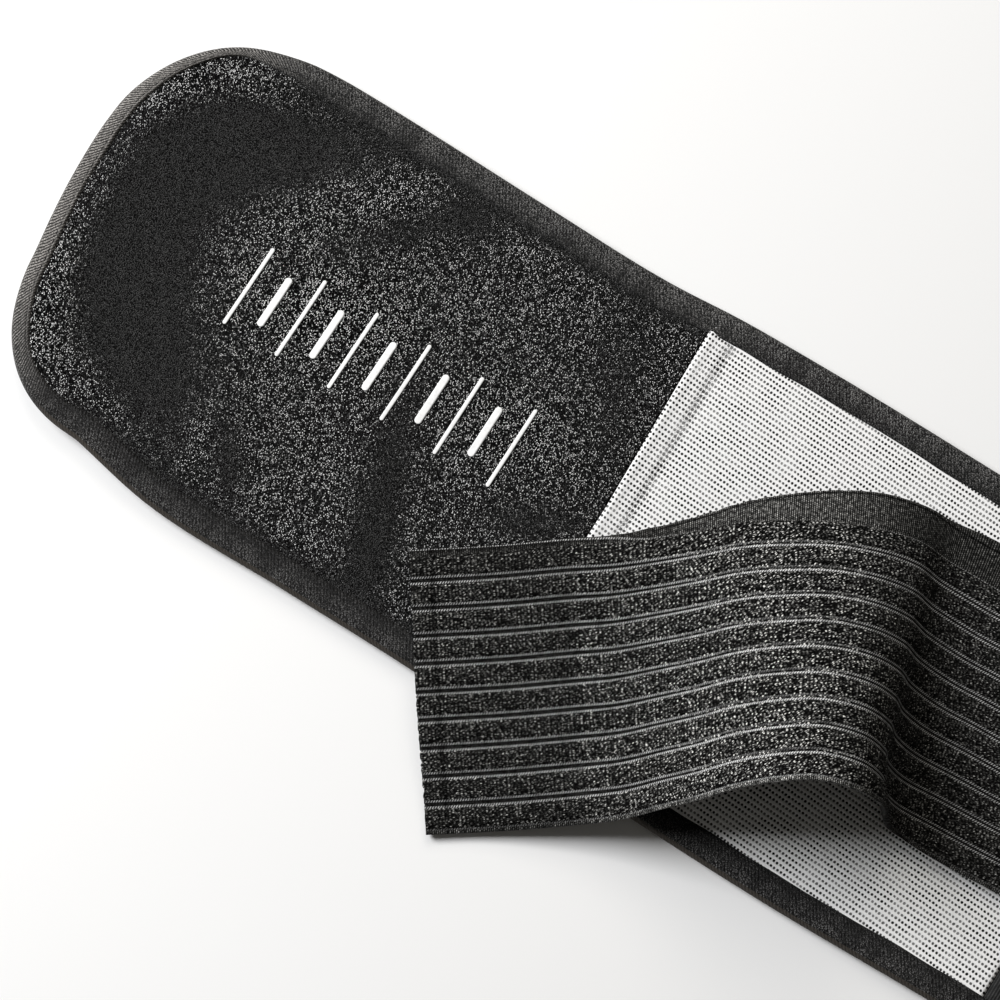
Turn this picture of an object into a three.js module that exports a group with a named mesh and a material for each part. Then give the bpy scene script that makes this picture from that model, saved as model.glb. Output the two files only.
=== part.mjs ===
// Motorcycle lumbar belt lying open, outer face up, one of its two tension straps thrown back over the wing.
// Millimetres. X runs along the belt, Y across it and Z up; the belt lies on Z = 0.
// The left wing carries loop velour with fit marks and a white spacer mesh, then comes the back panel, and
// the right wing repeats the left one plainly. A folded binding runs round the whole edge.
import * as THREE from 'three';

// Belt outline: distances along the belt are counted from its nearer end, across it from its middle line
const beltLength = 1000;
const upperCorner = { radius: 48, level: 28 };
const lowerCorner = { radius: 42, level: -29 };
const endSlant = 3;
const cornerSteps = 7;
const outlineTable = [
  { along: 48, upper: 76.0, lower: 71.0 },
  { along: 80, upper: 76.4, lower: 76.4 },
  { along: 130, upper: 75.4, lower: 76.2 },
  { along: 180, upper: 74.6, lower: 76.0 },
  { along: 215, upper: 75.8, lower: 77.4 },
  { along: 260, upper: 77.2, lower: 78.8 },
  { along: 310, upper: 76.8, lower: 79.0 },
  { along: 382, upper: 76.5, lower: 77.0 },
  { along: 500, upper: 77.5, lower: 77.5 },
];

// Where one cover panel ends and the next begins
const velourEnd = 203;
const meshEnd = 381.5;
const wingSteps = { velour: 12, mesh: 6, back: 5, plainMesh: 4, plainVelour: 4 };

// Layers, from the surface up; pieces that touch keep the gap between them
const gap = 0.3;
const bindingWall = 1.0;
const bindingWidth = 9.5;
const bindingBevel = 0.9;
const padRim = 1.7;
const padLoft = 4.0;
const panelRim = 1.0;
const velourLoft = 1.6;
const coverLoft = 1.3;
const edgeInset = bindingWall + gap;
const bindingClearance = 0.8;
const bindingInset = bindingWidth + bindingClearance;
const loftInset = 17;
const rimInsets = [edgeInset, bindingInset, loftInset];
const padFloor = bindingWall + gap;
const padRimTop = padFloor + padRim;
const panelRimTop = padRimTop + gap + panelRim;
const bindingTop = panelRimTop + gap + bindingWall;

// The left end has kept the curl of the body it was worn on: it lifts beyond a bowed crease
const curl = { start: 55, bow: 0.007, middle: 10, height: 7, power: 1.6 };

// Soft ridges and hollows of the left velour: centre, size, turn from the belt's length, and rise
const dentTable = [
  { along: 94, side: 42, length: 62, breadth: 24, turn: 47, rise: 1.8 },
  { along: 110, side: 27, length: 58, breadth: 22, turn: 47, rise: -0.7 },
  { along: 133, side: -37, length: 74, breadth: 26, turn: -65, rise: 1.8 },
  { along: 152, side: -30, length: 62, breadth: 24, turn: -65, rise: -0.6 },
  { along: 86, side: -50, length: 38, breadth: 20, turn: -52, rise: 1.2 },
  { along: 168, side: 42, length: 78, breadth: 30, turn: -50, rise: 1.1 },
];

// Fit marks: long fine ones alternate with short broad ones
const markCount = 11;
const firstMark = 67.7;
const markPitch = 10;
const markSide = 0.5;
const markThickness = 0.4;
const longMark = { length: 29.7, breadth: 1.3 };
const shortMark = { length: 19, breadth: 2.4 };

// Tension strap: ribbed elastic between two plain selvedges that are folded under
const strapThickness = 1.5;
const ribCount = 10;
const ribDepth = 0.45;
const ribShoulder = 0.2;
const selvedge = 13;
const foldLength = 2.9;
const foldSteps = 3;
const strapLength = 310;
const strapLie = 8.6;

// Sections of the thrown-back strap from its free end to its seam. from, side and lift place the strap's
// middle; turn is the section's angle from square to the belt and roll raises its lower edge, in degrees;
// open is how much of the upper selvedge lies flat before its fold.
const strapTable = [
  { along: 0, from: 184.5, side: -82, lift: 9.2, turn: 35.5, roll: -1, wide: 87.5, open: 0.5, fold: 180 },
  { along: 28, from: 207.5, side: -65.5, lift: 9, turn: 35.5, roll: -1, wide: 87.5, open: 0.5, fold: 180 },
  { along: 49, from: 224, side: -53, lift: 9.9, turn: 35.5, roll: 1, wide: 88, open: 0.8, fold: 180 },
  { along: 63, from: 235, side: -45, lift: 12.6, turn: 34.5, roll: 4.5, wide: 88, open: 1.5, fold: 180 },
  { along: 77, from: 245, side: -36.5, lift: 17.5, turn: 32.5, roll: 9, wide: 88, open: 3, fold: 180 },
  { along: 91, from: 254, side: -29, lift: 24.3, turn: 30, roll: 12.5, wide: 89, open: 5, fold: 180 },
  { along: 105, from: 263, side: -21, lift: 31.5, turn: 27.5, roll: 16, wide: 90, open: 7, fold: 180 },
  { along: 119, from: 273, side: -14, lift: 37.4, turn: 25.5, roll: 20, wide: 91, open: 8.3, fold: 180 },
  { along: 133, from: 284.5, side: -7, lift: 40.2, turn: 24.5, roll: 22, wide: 91.5, open: 8.6, fold: 180 },
  { along: 147, from: 297.5, side: -2, lift: 37.8, turn: 23.5, roll: 20, wide: 91.5, open: 8.6, fold: 180 },
  { along: 161, from: 308, side: 0.5, lift: 29.6, turn: 19, roll: 15, wide: 91, open: 9, fold: 150 },
  { along: 175, from: 315.5, side: 0.5, lift: 19.6, turn: 13, roll: 10.5, wide: 89, open: 9, fold: 60 },
  { along: 189, from: 326, side: 1, lift: 11.8, turn: 6.5, roll: 3.5, wide: 86.5, open: 9, fold: 12 },
  { along: 203, from: 339, side: 2, lift: 9.2, turn: 4.5, roll: 0.5, wide: 85, open: 9, fold: 6 },
  { along: 217, from: 353, side: 2.5, lift: strapLie, turn: 4.5, roll: 0, wide: 84, open: 9, fold: 6 },
  { along: 231, from: 367, side: 3, lift: strapLie, turn: 4, roll: 0, wide: 83, open: 9, fold: 6 },
  { along: strapLength, from: 446, side: 4.5, lift: strapLie, turn: 2, roll: 0, wide: 83, open: 9, fold: 6 },
];
const plainStrapTable = [
  { along: 0, from: 136, side: 2, lift: strapLie, turn: 0, roll: 0, wide: 87.5, open: 0.5, fold: 180 },
  { along: 60, from: 196, side: 2, lift: strapLie, turn: 0, roll: 0, wide: 87.5, open: 0.8, fold: 180 },
  { along: 190, from: 326, side: 2, lift: strapLie, turn: 0, roll: 0, wide: 85, open: 8.6, fold: 180 },
  { along: strapLength, from: 446, side: 2, lift: strapLie, turn: 0, roll: 0, wide: 83, open: 9, fold: 180 },
];
const strapColumns = ['from', 'side', 'lift', 'turn', 'roll', 'wide', 'open', 'fold'];
const crossShares = [-0.5, -0.25, 0, 0.25, 0.5];
const lowerOpen = 0.5;
const lowerFold = Math.PI;

// Hook patches: one under each strap's free end, one under the right wing's end
const hookThickness = 1.2;
const strapHook = { start: 5, end: 49, width: 66 };
const closingHook = { start: 22, end: 68, width: 92, thickness: 1.0 };
const closingRecess = 90;

const lookTable = {
  velour: { color: 0x26262a, roughness: 0.96 },
  mesh: { color: 0xe6e6e3, roughness: 0.8 },
  back: { color: 0x1f1f22, roughness: 0.85 },
  pad: { color: 0x1b1b1d, roughness: 0.9 },
  binding: { color: 0x2d2d30, roughness: 0.75 },
  strap: { color: 0x232326, roughness: 0.8 },
  hook: { color: 0x18181a, roughness: 0.7 },
  print: { color: 0xf3f3ef, roughness: 0.6 },
};

// Reads a table as smooth curves: gives every named column at a place along the key column
function tableCurve(rows, key, columns) {
  const places = rows.map((row) => row[key]);
  const values = rows.flatMap((row) => columns.map((column) => row[column]));
  const spline = new THREE.CubicInterpolant(places, values, columns.length);
  return (place) => {
    const sample = spline.evaluate(place);
    return Object.fromEntries(columns.map((column, i) => [column, sample[i]]));
  };
}

const outlineAt = tableCurve(outlineTable, 'along', ['upper', 'lower']);

// A section crosses the belt from its upper rim to its lower rim, each given at any inset from the edge.
// At an end the two corner arcs turn together, from the end edge at 0 to the long edges at a right angle.
function cornerSection(end, turn) {
  const place = (along, side) => new THREE.Vector2(end * (beltLength / 2 - along), side);
  const arc = (corner, start, way) => (inset) => {
    const radius = corner.radius - inset;
    const along = start + corner.radius - radius * Math.cos(turn);
    return place(along, corner.level + way * radius * Math.sin(turn));
  };
  return { upper: arc(upperCorner, 0, 1), lower: arc(lowerCorner, endSlant, -1) };
}

function straightSection(station) {
  const edge = outlineAt(Math.min(station, beltLength - station));
  const x = station - beltLength / 2;
  return {
    upper: (inset) => new THREE.Vector2(x, edge.upper - inset),
    lower: (inset) => new THREE.Vector2(x, inset - edge.lower),
  };
}

// All sections of the belt in order, with the numbers of those where panels meet
function layOutSections() {
  const sections = [];
  const turns = Array.from({ length: cornerSteps + 1 }, (_, i) => ((i / cornerSteps) * Math.PI) / 2);
  const cornerEnd = upperCorner.radius;
  const zones = [
    { from: cornerEnd, to: velourEnd, steps: wingSteps.velour },
    { from: velourEnd, to: meshEnd, steps: wingSteps.mesh },
    { from: meshEnd, to: beltLength - meshEnd, steps: wingSteps.back },
    { from: beltLength - meshEnd, to: beltLength - velourEnd, steps: wingSteps.plainMesh },
    { from: beltLength - velourEnd, to: beltLength - cornerEnd, steps: wingSteps.plainVelour },
  ];
  turns.forEach((turn) => sections.push(cornerSection(-1, turn)));
  const seams = [];
  zones.forEach((zone, number) => {
    const last = number === zones.length - 1 ? zone.steps - 1 : zone.steps;
    for (let step = 1; step <= last; step += 1) {
      sections.push(straightSection(zone.from + ((zone.to - zone.from) * step) / zone.steps));
    }
    seams.push(sections.length - 1);
  });
  turns.reverse().forEach((turn) => sections.push(cornerSection(1, turn)));
  return { sections, seams: seams.slice(0, 4) };
}

const { sections, seams } = layOutSections();
const lastSection = sections.length - 1;

// A place on a section: lane 0 is its upper rim, the last lane its lower rim
function placeOn(section, lane, lanes, inset) {
  const point = section.upper(inset).lerp(section.lower(inset), lane / lanes);
  return { x: point.x, y: point.y, inset };
}

function curlLift(point) {
  const along = point.x + beltLength / 2;
  const crease = curl.start + curl.bow * (point.y - curl.middle) ** 2;
  return curl.height * Math.max(0, 1 - along / crease) ** curl.power;
}

function dentRise(point) {
  return dentTable.reduce((sum, dent) => {
    const turn = THREE.MathUtils.degToRad(dent.turn);
    const dx = point.x + beltLength / 2 - dent.along;
    const dy = point.y - dent.side;
    const lengthwise = (dx * Math.cos(turn) + dy * Math.sin(turn)) / (dent.length / 2);
    const crosswise = (dy * Math.cos(turn) - dx * Math.sin(turn)) / (dent.breadth / 2);
    return sum + dent.rise * Math.exp(-(lengthwise ** 2) - crosswise ** 2);
  }, 0);
}

// Closed body from points and triangles, turned so that its faces point out
function solid(points, triangles) {
  const corners = triangles.map((triangle) => triangle.map((i) => points[i]));
  const volume = corners.reduce((sum, [a, b, c]) => sum + a.dot(b.clone().cross(c)), 0);
  const order = volume < 0 ? triangles.map(([a, b, c]) => [a, c, b]) : triangles;
  const geometry = new THREE.BufferGeometry();
  const places = points.flatMap((p) => p.toArray());
  geometry.setAttribute('position', new THREE.Float32BufferAttribute(places, 3));
  geometry.setIndex(order.flat());
  geometry.computeVertexNormals();
  return geometry;
}

function quad(a, b, c, d) {
  return [[a, b, c], [a, c, d]];
}

// Flat net over a run of sections: a field of lanes inside the loft inset, and rings from there out to the
// edge along both rims and round an end of the belt that the run reaches
function beltNet(first, last, lanes) {
  const points = [];
  const triangles = [];
  const numbers = new Map();
  const inner = rimInsets.length - 1;
  const vertex = ([k, lane, ring]) => {
    const key = `${k} ${lane} ${ring}`;
    if (!numbers.has(key)) {
      numbers.set(key, points.length);
      points.push(placeOn(sections[k], lane, lanes, rimInsets[ring]));
    }
    return numbers.get(key);
  };
  const cell = (...corners) => triangles.push(...quad(...corners.map(vertex)));
  for (let k = first; k < last; k += 1) {
    const next = k + 1;
    for (let lane = 0; lane < lanes; lane += 1) {
      cell([k, lane, inner], [k, lane + 1, inner], [next, lane + 1, inner], [next, lane, inner]);
    }
    for (let ring = 0; ring < inner; ring += 1) {
      cell([k, 0, ring], [k, 0, ring + 1], [next, 0, ring + 1], [next, 0, ring]);
      cell([k, lanes, ring + 1], [k, lanes, ring], [next, lanes, ring], [next, lanes, ring + 1]);
    }
  }
  for (let lane = 0; lane < lanes; lane += 1) {
    for (let ring = 0; ring < inner; ring += 1) {
      if (first === 0) {
        cell([0, lane, ring], [0, lane + 1, ring], [0, lane + 1, ring + 1], [0, lane, ring + 1]);
      }
      if (last === lastSection) {
        cell([last, lane, ring + 1], [last, lane + 1, ring + 1], [last, lane + 1, ring], [last, lane, ring]);
      }
    }
  }
  return { points, triangles };
}

// Thickens a net between two heights and walls its free edges
function thickSheet(net, bottomAt, topAt) {
  const count = net.points.length;
  const raise = (heightAt) => net.points.map((p) => new THREE.Vector3(p.x, p.y, heightAt(p)));
  const points = [...raise(topAt), ...raise(bottomAt)];
  const under = net.triangles.map(([a, b, c]) => [a + count, c + count, b + count]);
  const triangles = [...net.triangles, ...under];
  const edges = new Set(net.triangles.flatMap(([a, b, c]) => [`${a} ${b}`, `${b} ${c}`, `${c} ${a}`]));
  net.triangles.forEach(([a, b, c]) => {
    [[a, b], [b, c], [c, a]].forEach(([from, to]) => {
      if (!edges.has(`${to} ${from}`)) {
        triangles.push(...quad(to, from, from + count, to + count));
      }
    });
  });
  return solid(points, triangles);
}

// Foam pad: thin where the binding grips it, and thin again where the closing hook patch is sewn under it
function padGeometry() {
  const lanes = 4;
  const overPatch = (p) => p.x > beltLength / 2 - closingRecess;
  const bottomAt = (p) => curlLift(p) + (p.inset < loftInset || overPatch(p) ? padFloor : 0);
  const topAt = (p) => curlLift(p) + (p.inset < loftInset ? padRimTop : padLoft);
  return thickSheet(beltNet(0, lastSection, lanes), bottomAt, topAt);
}

// Cover panel on the pad, drawn back from the seams with its neighbours
function panelGeometry(first, last, lanes, loft, reliefAt) {
  const net = beltNet(first, last, lanes);
  const ends = [first, last].filter((k) => k > 0 && k < lastSection);
  ends.forEach((k) => {
    const seamX = sections[k].upper(0).x;
    const draw = k === first ? gap / 2 : -gap / 2;
    net.points.filter((p) => p.x === seamX).forEach((p) => {
      p.x += draw;
    });
  });
  const bottomAt = (p) => curlLift(p) + gap + (p.inset < loftInset ? padRimTop : padLoft);
  const fieldTop = (p) => padLoft + gap + loft + reliefAt(p);
  const topAt = (p) => curlLift(p) + (p.inset < loftInset ? panelRimTop : fieldTop(p));
  return thickSheet(net, bottomAt, topAt);
}

// Binding: a tape folded over the edge, its section carried round the whole rim
function bindingGeometry() {
  const lanes = 4;
  const section = [
    { inset: bindingWidth, height: bindingTop },
    { inset: bindingBevel, height: bindingTop },
    { inset: 0, height: bindingTop - bindingBevel },
    { inset: 0, height: bindingBevel },
    { inset: bindingBevel, height: 0 },
    { inset: bindingWidth, height: 0 },
    { inset: bindingWidth, height: bindingWall },
    { inset: bindingWall, height: bindingWall },
    { inset: bindingWall, height: bindingTop - bindingWall },
    { inset: bindingWidth, height: bindingTop - bindingWall },
  ];
  const rim = [];
  for (let k = 0; k <= lastSection; k += 1) rim.push([k, 0]);
  for (let lane = 1; lane < lanes; lane += 1) rim.push([lastSection, lane]);
  for (let k = lastSection; k >= 0; k -= 1) rim.push([k, lanes]);
  for (let lane = lanes - 1; lane > 0; lane -= 1) rim.push([0, lane]);
  const points = rim.flatMap(([k, lane]) => section.map(({ inset, height }) => {
    const place = placeOn(sections[k], lane, lanes, inset);
    return new THREE.Vector3(place.x, place.y, height + curlLift(place));
  }));
  const triangles = [];
  rim.forEach((_, i) => {
    const here = i * section.length;
    const next = ((i + 1) % rim.length) * section.length;
    section.forEach((__, j) => {
      const k = (j + 1) % section.length;
      triangles.push(...quad(here + j, here + k, next + k, next + j));
    });
  });
  return solid(points, triangles);
}

// Half the step over which a strap's slope is taken
const nudge = 0.5;

// Surface of a strap: a point at a distance along it, across it (towards its lower edge) and above its middle
function strapSurface(table, end) {
  const trackAt = tableCurve(table, 'along', strapColumns);
  const lineAt = (along, across) => {
    const row = trackAt(along);
    const turn = THREE.MathUtils.degToRad(row.turn);
    const roll = THREE.MathUtils.degToRad(row.roll);
    const level = across * Math.cos(roll);
    return new THREE.Vector3(
      end * (beltLength / 2 - row.from - level * Math.sin(turn)),
      row.side - level * Math.cos(turn),
      row.lift + across * Math.sin(roll),
    );
  };
  const pointAt = (along, across, height) => {
    const before = lineAt(Math.max(along - nudge, 0), across);
    const after = lineAt(Math.min(along + nudge, strapLength), across);
    const lengthwise = after.sub(before);
    const crosswise = lineAt(along, across + nudge).sub(lineAt(along, across - nudge));
    const normal = crosswise.cross(lengthwise).normalize().multiplyScalar(-end * height);
    return lineAt(along, across).add(normal);
  };
  return { trackAt, pointAt };
}

// One selvedge in the strap's section: flat for a stretch, bent evenly over the fold length, then straight.
// Gives its two faces from the thread line out to the tip; line is the distance from the strap's middle.
function selvedgeFaces(way, half, open, fold) {
  const bend = Math.max(fold, 0.01);
  const rest = selvedge - open - foldLength;
  const nodes = [];
  for (let step = 0; step <= foldSteps; step += 1) {
    const share = step / foldSteps;
    const turn = bend * share;
    const reach = open + (foldLength * Math.sin(turn)) / bend;
    const drop = (foldLength * (1 - Math.cos(turn))) / bend;
    nodes.push({ reach, drop, turn, line: open + foldLength * share });
  }
  const bent = nodes[foldSteps];
  nodes.push({
    reach: bent.reach + rest * Math.cos(bend),
    drop: bent.drop + rest * Math.sin(bend),
    turn: bend,
    line: selvedge,
  });
  const face = (offset) => nodes.map((node) => ({
    across: way * (half + node.reach + offset * Math.sin(node.turn)),
    height: offset * Math.cos(node.turn) - node.drop,
    line: way * (half + node.line),
  }));
  return { outer: face(strapThickness / 2), inner: face(-strapThickness / 2) };
}

// Section of the strap, its outer and inner face each from the upper tip to the lower one: ribs on the outer
// face, a plain inner face, and a folded selvedge at each side
function strapSection(row) {
  const half = row.wide / 2;
  const pitch = row.wide / ribCount;
  const upper = selvedgeFaces(-1, half, row.open, THREE.MathUtils.degToRad(row.fold));
  const lower = selvedgeFaces(1, half, lowerOpen, lowerFold);
  const node = (across, height) => ({ across, height, line: across });
  const ribs = [];
  for (let rib = 0; rib < ribCount; rib += 1) {
    const groove = -half + rib * pitch;
    ribs.push(node(groove, strapThickness / 2 - ribDepth));
    ribs.push(node(groove + ribShoulder * pitch, strapThickness / 2));
    ribs.push(node(groove + (1 - ribShoulder) * pitch, strapThickness / 2));
  }
  ribs.push(node(half, strapThickness / 2 - ribDepth));
  const under = crossShares.map((share) => node(share * row.wide, -strapThickness / 2));
  return {
    outer: [...upper.outer.reverse(), ...ribs, ...lower.outer],
    inner: [...upper.inner.reverse(), ...under, ...lower.inner],
  };
}

// Faces of a cap: zips the outer and the inner face of a section together, node by node along the cloth
function capFaces({ outer, inner }) {
  const count = outer.length + inner.length;
  const innerNumber = (j) => count - 1 - j;
  const faces = [];
  let i = 0;
  let j = 0;
  while (i < outer.length - 1 || j < inner.length - 1) {
    const outerNext = i < outer.length - 1 ? outer[i + 1].line : Infinity;
    const innerNext = j < inner.length - 1 ? inner[j + 1].line : Infinity;
    if (outerNext <= innerNext) {
      faces.push([i, i + 1, innerNumber(j)]);
      i += 1;
    } else {
      faces.push([i, innerNumber(j + 1), innerNumber(j)]);
      j += 1;
    }
  }
  return faces;
}

// Carries a section along a strap's surface, with a cap at each end
function loftAlong(surface, stations, sectionAt) {
  const strips = stations.map(sectionAt);
  const loops = strips.map((strip, k) => [...strip.outer, ...strip.inner.slice().reverse()]
    .map((node) => surface.pointAt(stations[k], node.across, node.height)));
  const count = loops[0].length;
  const last = loops.length - 1;
  const triangles = [];
  for (let k = 0; k < last; k += 1) {
    for (let i = 0; i < count; i += 1) {
      const j = (i + 1) % count;
      triangles.push(...quad(k * count + i, k * count + j, (k + 1) * count + j, (k + 1) * count + i));
    }
  }
  capFaces(strips[0]).forEach(([a, b, c]) => triangles.push([a, c, b]));
  capFaces(strips[last]).forEach((face) => triangles.push(face.map((i) => last * count + i)));
  return solid(loops.flat(), triangles);
}

function strapGeometry(surface, stations) {
  return loftAlong(surface, stations, (along) => strapSection(surface.trackAt(along)));
}

// Hook patch on the strap's underside, between the folded selvedges
function strapHookGeometry(surface, strapStations) {
  const top = -strapThickness / 2 - gap;
  const face = (height) => crossShares.map((share) => {
    const across = share * strapHook.width;
    return { across, height, line: across };
  });
  const stations = strapStations.filter((along) => along >= strapHook.start && along <= strapHook.end);
  return loftAlong(surface, stations, () => ({ outer: face(top), inner: face(top - hookThickness) }));
}

function closingHookGeometry() {
  const { start, end, width, thickness } = closingHook;
  const geometry = new THREE.BoxGeometry(end - start, width, thickness);
  return geometry.translate(beltLength / 2 - (start + end) / 2, 0, thickness / 2);
}

// A fit mark: a film strip with rounded ends that follows the velour under it
function markGeometry(along, { length, breadth }, velour) {
  const round = breadth / 2;
  const straight = length / 2 - round;
  const capTurn = Math.PI / 3;
  const rows = [
    { side: straight + round * Math.sin(capTurn), half: round * Math.cos(capTurn) },
    ...[1, 0.5, 0, -0.5, -1].map((share) => ({ side: share * straight, half: round })),
    { side: -straight - round * Math.sin(capTurn), half: round * Math.cos(capTurn) },
  ];
  const points = rows.flatMap(({ side, half }) => [-half, half].map((x) => ({
    x: along - beltLength / 2 + x,
    y: markSide + side,
  })));
  const triangles = rows.slice(1).flatMap((_, i) => quad(2 * i, 2 * i + 2, 2 * i + 3, 2 * i + 1));
  const ray = new THREE.Raycaster();
  const velourAt = (p) => {
    ray.set(new THREE.Vector3(p.x, p.y, beltLength), new THREE.Vector3(0, 0, -1));
    return ray.intersectObject(velour)[0].point.z;
  };
  const bottomAt = (p) => velourAt(p) + gap;
  const topAt = (p) => velourAt(p) + gap + markThickness;
  return thickSheet({ points, triangles }, bottomAt, topAt);
}

const belt = new THREE.Group();

function addPiece(name, look, geometry) {
  const material = new THREE.MeshStandardMaterial({ ...lookTable[look], metalness: 0 });
  const piece = new THREE.Mesh(geometry, material);
  piece.name = name;
  belt.add(piece);
  return piece;
}

const flat = () => 0;
addPiece('body_pad', 'pad', padGeometry());
const velour = addPiece('loop_panel_left', 'velour', panelGeometry(0, seams[0], 10, velourLoft, dentRise));
addPiece('mesh_panel_left', 'mesh', panelGeometry(seams[0], seams[1], 6, coverLoft, flat));
addPiece('back_panel', 'back', panelGeometry(seams[1], seams[2], 4, coverLoft, flat));
addPiece('mesh_panel_right', 'mesh', panelGeometry(seams[2], seams[3], 4, coverLoft, flat));
addPiece('loop_panel_right', 'velour', panelGeometry(seams[3], lastSection, 4, coverLoft, flat));
addPiece('edge_binding', 'binding', bindingGeometry());

// Stations of the thrown-back strap are close together over its hump
const hump = { start: strapHook.end, step: 7, count: 22 };
const humpStations = Array.from({ length: hump.count }, (_, i) => hump.start + hump.step * i);
const leftStations = [0, strapHook.start, 16, 28, 40, ...humpStations, 217, 245, 278, strapLength];
const rightStations = [0, strapHook.start, 30, strapHook.end, 100, 145, 190, 250, strapLength];
const leftStrap = strapSurface(strapTable, -1);
const rightStrap = strapSurface(plainStrapTable, 1);
addPiece('strap_left', 'strap', strapGeometry(leftStrap, leftStations));
addPiece('strap_left_hook', 'hook', strapHookGeometry(leftStrap, leftStations));
addPiece('strap_right', 'strap', strapGeometry(rightStrap, rightStations));
addPiece('strap_right_hook', 'hook', strapHookGeometry(rightStrap, rightStations));
addPiece('closing_hook', 'hook', closingHookGeometry());

for (let i = 0; i < markCount; i += 1) {
  const size = i % 2 === 0 ? longMark : shortMark;
  const name = `fit_mark_${String(i + 1).padStart(2, '0')}`;
  addPiece(name, 'print', markGeometry(firstMark + i * markPitch, size, velour));
}

// The origin is under the middle of everything that lies on the table
const box = new THREE.Box3().setFromObject(belt);
const middle = box.getCenter(new THREE.Vector3());
belt.position.set(-middle.x, -middle.y, -box.min.z);

export default belt;
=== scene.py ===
import math

import bpy
import numpy as np
from mathutils import Matrix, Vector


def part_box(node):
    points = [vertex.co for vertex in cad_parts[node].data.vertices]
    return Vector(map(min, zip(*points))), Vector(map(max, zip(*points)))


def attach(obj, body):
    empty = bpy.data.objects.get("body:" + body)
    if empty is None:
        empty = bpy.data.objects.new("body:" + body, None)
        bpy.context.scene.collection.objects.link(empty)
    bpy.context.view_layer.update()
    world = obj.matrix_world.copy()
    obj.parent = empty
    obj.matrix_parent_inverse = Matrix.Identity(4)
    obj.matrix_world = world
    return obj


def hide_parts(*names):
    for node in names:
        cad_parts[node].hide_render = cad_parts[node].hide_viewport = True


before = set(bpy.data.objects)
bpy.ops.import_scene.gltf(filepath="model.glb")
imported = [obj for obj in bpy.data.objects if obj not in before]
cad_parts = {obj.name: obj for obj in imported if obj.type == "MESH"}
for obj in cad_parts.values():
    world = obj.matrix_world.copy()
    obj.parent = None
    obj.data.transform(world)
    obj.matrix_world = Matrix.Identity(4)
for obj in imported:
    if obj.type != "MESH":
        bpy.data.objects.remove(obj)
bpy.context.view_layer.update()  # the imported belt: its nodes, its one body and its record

print("frame loaded:", len(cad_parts), "nodes")

# The belt is worked out in millimetres: u from its left end, side from its middle line, z up
belt = {
    "length": 1000.0,
    "corners": [  # radius, level of the centre, start of the arc along the belt, way out
        (48.0, 28.0, 0.0, 1),
        (42.0, -29.0, 3.0, -1)],
    "endSlant": 3.0,
    "cornerEnd": 48.0,
    "outline": [  # along, upper edge, lower edge
        (48, 76.0, 71.0), (80, 76.4, 76.4), (130, 75.4, 76.2), (180, 74.7, 76.1), (207, 76.5, 77.2),
        (225, 77.0, 77.8), (260, 77.3, 78.8), (310, 76.8, 79.0), (382, 76.5, 77.0), (500, 77.5, 77.5)],
    "rimTop": 5.0,  # cover height under the tape
    "rise": (-0.6, 8.6),  # the cover rises to its full loft between these distances from the tape
    "tapeWidth": 9.4,
    "tapeRound": 2.3,
    "narrowed": (0.45, 0.3),  # share of the tape that the rolled left end hides, and more at its upper corner
    "narrowest": (20.0, 66.0, 25.0),  # that corner: along, side, spread
    "curl": {"start": 55.0, "bow": 0.007, "middle": 10.0, "height": 9.0, "power": 1.6,
             "roll": 3.0, "rollWidth": 14.0, "rollEnd": (14.0, 62.0)},
    "endShift": [  # side, and how far the left end stands out (minus) or back there
        (-90, 0.0), (-70, 0.3), (-55, 1.5), (-40, 2.0), (-28, 1.0), (-15, -0.6), (0, -1.8),
        (18, -1.9), (30, -0.9), (45, 0.1), (90, 0.0)],
    "shiftOver": (8, 60),  # that shift fades out between these places along the belt
    "endDip": (36.0, 14.0, 1.25),  # the upper corner's shoulder: along, spread, how much lower it is
    "dipOver": (40, 74),  # the shoulder starts and is full at these sides
    "flatWidth": 0.153,  # metres of cloth across the belt
}
hookLow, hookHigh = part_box("closing_hook")
middleLine = (hookLow.y + hookHigh.y) / 2  # the belt's middle line in the frame, metres


def smoothStep(value, low, high):
    # 0 below low, 1 above high, and an S curve between
    t = np.clip((value - low) / (high - low), 0, 1)
    return t * t * (3 - 2 * t)


def bell(off, spread):
    # bell curve: e to the minus square of the distance in spreads
    return np.exp(-((off / spread) ** 2))


def smoothRows(rows, at):
    # cubic through the rows of a table; the slope at a row is the mean of the slopes on its two sides
    table = np.asarray(rows, float)
    key, values = table[:, 0], table[:, 1:]
    slope = np.diff(values, axis=0) / np.diff(key)[:, None]
    tangent = np.vstack([slope[:1], (slope[1:] + slope[:-1]) / 2, slope[-1:]])
    at = np.clip(np.asarray(at, float), key[0], key[-1])
    i = np.clip(np.searchsorted(key, at, side="right") - 1, 0, len(key) - 2)
    span = (key[i + 1] - key[i])[..., None]
    p = (at - key[i])[..., None] / span
    start = values[i] * (1 + 2 * p) * (1 - p) ** 2 + tangent[i] * span * p * (1 - p) ** 2
    return start + values[i + 1] * p**2 * (3 - 2 * p) + tangent[i + 1] * span * p**2 * (p - 1)


def toFrame(u, side, z):
    # millimetres of the belt to metres of the frame; the left end's outline is shifted a little on the way
    at, spread, depth = belt["endDip"]
    dip = depth * bell(u - at, spread) * smoothStep(side, *belt["dipOver"])
    shift = smoothRows(belt["endShift"], side)[..., 0] * (1 - smoothStep(u, *belt["shiftOver"]))
    x = (u + shift - belt["length"] / 2) / 1000
    return np.stack([x, (side - dip) / 1000 + middleLine, np.broadcast_to(z / 1000, np.shape(x))], axis=-1)


def spotsToFrame(spots):
    # the same for an array whose last axis is u, side, z
    return toFrame(*np.moveaxis(spots, -1, 0))


def nodeSpan(node):
    # where a node starts and ends along the belt
    return [corner.x * 1000 + belt["length"] / 2 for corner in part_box(node)]


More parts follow.
